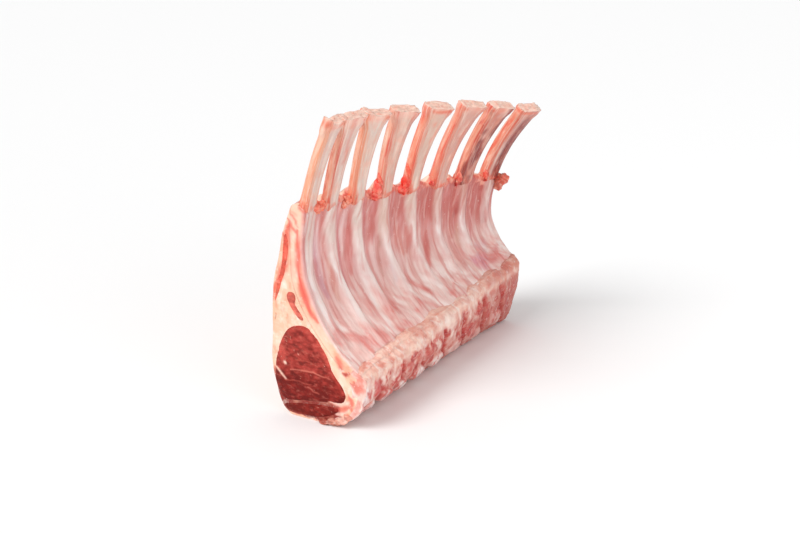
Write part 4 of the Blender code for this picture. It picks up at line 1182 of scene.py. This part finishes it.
# shreds of meat and fat left where the bones were cleaned: rib, how far along the spine from
# its middle, how far above the meat line, how far out of the skin, size along the spine, out
# and up, colour
shreds = [
    (0, 0.45, -0.010, 0.05, 0.34, 0.20, 0.28, (240, 112, 88)),
    (0, 0.70, -0.030, 0.02, 0.28, 0.18, 0.22, (238, 128, 104)),
    (1, -0.62, -0.004, 0.04, 0.26, 0.18, 0.24, (240, 112, 84)),
    (2, -0.66, -0.002, 0.04, 0.32, 0.18, 0.26, (242, 116, 88)),
    (2, -0.95, -0.022, 0.02, 0.24, 0.16, 0.20, (240, 136, 112)),
    (3, -0.62, 0.022, 0.06, 0.24, 0.24, 0.46, (236, 66, 54)),
    (3, -0.80, -0.010, 0.08, 0.38, 0.26, 0.28, (236, 70, 56)),
    (3, -0.50, 0.070, 0.02, 0.13, 0.18, 0.52, (232, 78, 60)),
    (4, -0.62, 0.022, 0.06, 0.25, 0.25, 0.50, (238, 58, 40)),
    (4, -0.82, -0.008, 0.08, 0.36, 0.26, 0.26, (240, 64, 48)),
    (4, -0.54, 0.090, 0.02, 0.12, 0.16, 0.62, (236, 86, 60)),
    (5, -0.62, -0.004, 0.04, 0.22, 0.18, 0.20, (216, 62, 50)),
    (6, -0.66, 0.010, 0.05, 0.18, 0.18, 0.32, (214, 66, 50)),
    (6, -0.80, -0.016, 0.03, 0.20, 0.16, 0.20, (196, 54, 46)),
    (7, -0.60, 0.012, 0.05, 0.18, 0.18, 0.34, (220, 66, 50)),
]


# the far end's flap: push along x, rise, sizes, colour; and the loin's foot: x, z, sizes, colour
farFlap = ((0.25, 0.05, (0.42, 0.24, 0.34), (226, 104, 86)),
           (0.50, 0.20, (0.30, 0.22, 0.26), (230, 96, 76)),
           (0.10, -0.25, (0.30, 0.22, 0.40), (222, 124, 108)))
footFlap = ((-0.75, 0.14, (0.42, 0.30, 0.14), (164, 74, 60)),
            (-0.20, 0.22, (0.46, 0.26, 0.18), (188, 112, 98)),
            (0.30, 0.42, (0.36, 0.24, 0.18), (220, 160, 144)),
            (0.70, 0.72, (0.28, 0.22, 0.16), (214, 140, 126)))


def makeShreds():
    # blobs at places on the skin, at the shoulder's edge and at the foot of the loin's cut
    blobs = []
    for index, beside, above, out, alongY, outX, up, colour in shreds:
        s = meatLine(ribSpine(index)) + above
        t = ribOnSkin(index, s) + beside / spineLength
        x, z = innerLine(t, s)
        intoX, intoZ = intoMeat(t, s)
        depth = 0.20 - out
        middle = toWorld(x + intoX * depth, t, z + intoZ * depth)
        blobs.append((middle, (outX, alongY, up), colour, 0.55))
    flapX, flapZ = innerLine(1.0, 0.52)
    for push, rise, size, colour in farFlap:
        blobs.append((toWorld(flapX + push, 0.985, flapZ + rise), size, colour, 0.5))
    makeBlobs("meatShreds", blobs, cutShreds, "lean")
    foot = [(toWorld(x, 0.002, z), size, colour, 0.4) for x, z, size, colour in footFlap]
    makeBlobs("bottomFlap", foot, bodyFat, "fat")


makeRibMeat()
makeFatCap()
for muscleName, muscleLook in muscles.items():
    makeMuscle(muscleName, muscleLook)
for ribIndex in range(ribCount):
    makeRib(ribIndex)
makeBackbone()
makeShreds()
print("pieces made")


# floor, lights and camera, in metres
studio = {
    "floor": 0.92, "world": 0.62, "lookAt": (0.0, 0.0, 0.07),
    "keyLight": ("SUN", (-0.30, -0.90, 1.00), 2.0, 0.6),
    "fillLight": ("AREA", (1.10, -0.40, 0.45), 3.2, 0.8),
    # the camera's place and target, measured from the foot of the sawn face at the loin end
    "camera": (0.36818, -0.51484, 0.29866), "target": (-0.0207, 0.0930, 0.0582), "lens": 60.0,
}


def makeFloor():
    # one pale square, six metres wide
    mesh = bpy.data.meshes.new("floor")
    mesh.from_pydata([(-3, -3, 0), (3, -3, 0), (3, 3, 0), (-3, 3, 0)], [], [(0, 1, 2, 3)])
    floor = bpy.data.objects.new("floor", mesh)
    scene.collection.objects.link(floor)
    pale = bpy.data.materials.new("paleFloor")
    pale.use_nodes = True
    shader = pale.node_tree.nodes["Principled BSDF"]
    shader.inputs["Base Color"].default_value = (*[studio["floor"]] * 3, 1.0)
    shader.inputs["Roughness"].default_value = 0.9
    mesh.materials.append(pale)


def aim(thing, target):
    # turns a lamp or camera so that it looks at the target
    gaze = Vector(target) - Vector(thing.location)
    thing.rotation_euler = gaze.to_track_quat("-Z", "Y").to_euler()


def makeLight(name):
    # a sun's softness is an angle, an area lamp's is its width
    kind, place, power, softness = studio[name]
    lamp = bpy.data.lights.new(name, kind)
    lamp.energy = power
    if kind == "SUN":
        lamp.angle = softness
    else:
        lamp.size = softness
    made = bpy.data.objects.new(name, lamp)
    made.location = place
    scene.collection.objects.link(made)
    aim(made, studio["lookAt"])


makeFloor()
makeLight("keyLight")
makeLight("fillLight")
world = bpy.data.worlds.new("studio")
world.use_nodes = True
world.node_tree.nodes["Background"].inputs["Color"].default_value = (1.0, 1.0, 1.0, 1.0)
world.node_tree.nodes["Background"].inputs["Strength"].default_value = studio["world"]
scene.world = world
scene.view_settings.view_transform = "Standard"

lens = bpy.data.cameras.new("camera")
lens.lens = studio["lens"]
lens.sensor_width = 36.0
camera = bpy.data.objects.new("camera", lens)
foot = Vector((spineX * 0.01, spineStart * 0.01, 0.0))
camera.location = Vector(studio["camera"]) + foot
scene.collection.objects.link(camera)
aim(camera, Vector(studio["target"]) + foot)
scene.camera = camera
print("floor, lights and camera placed")
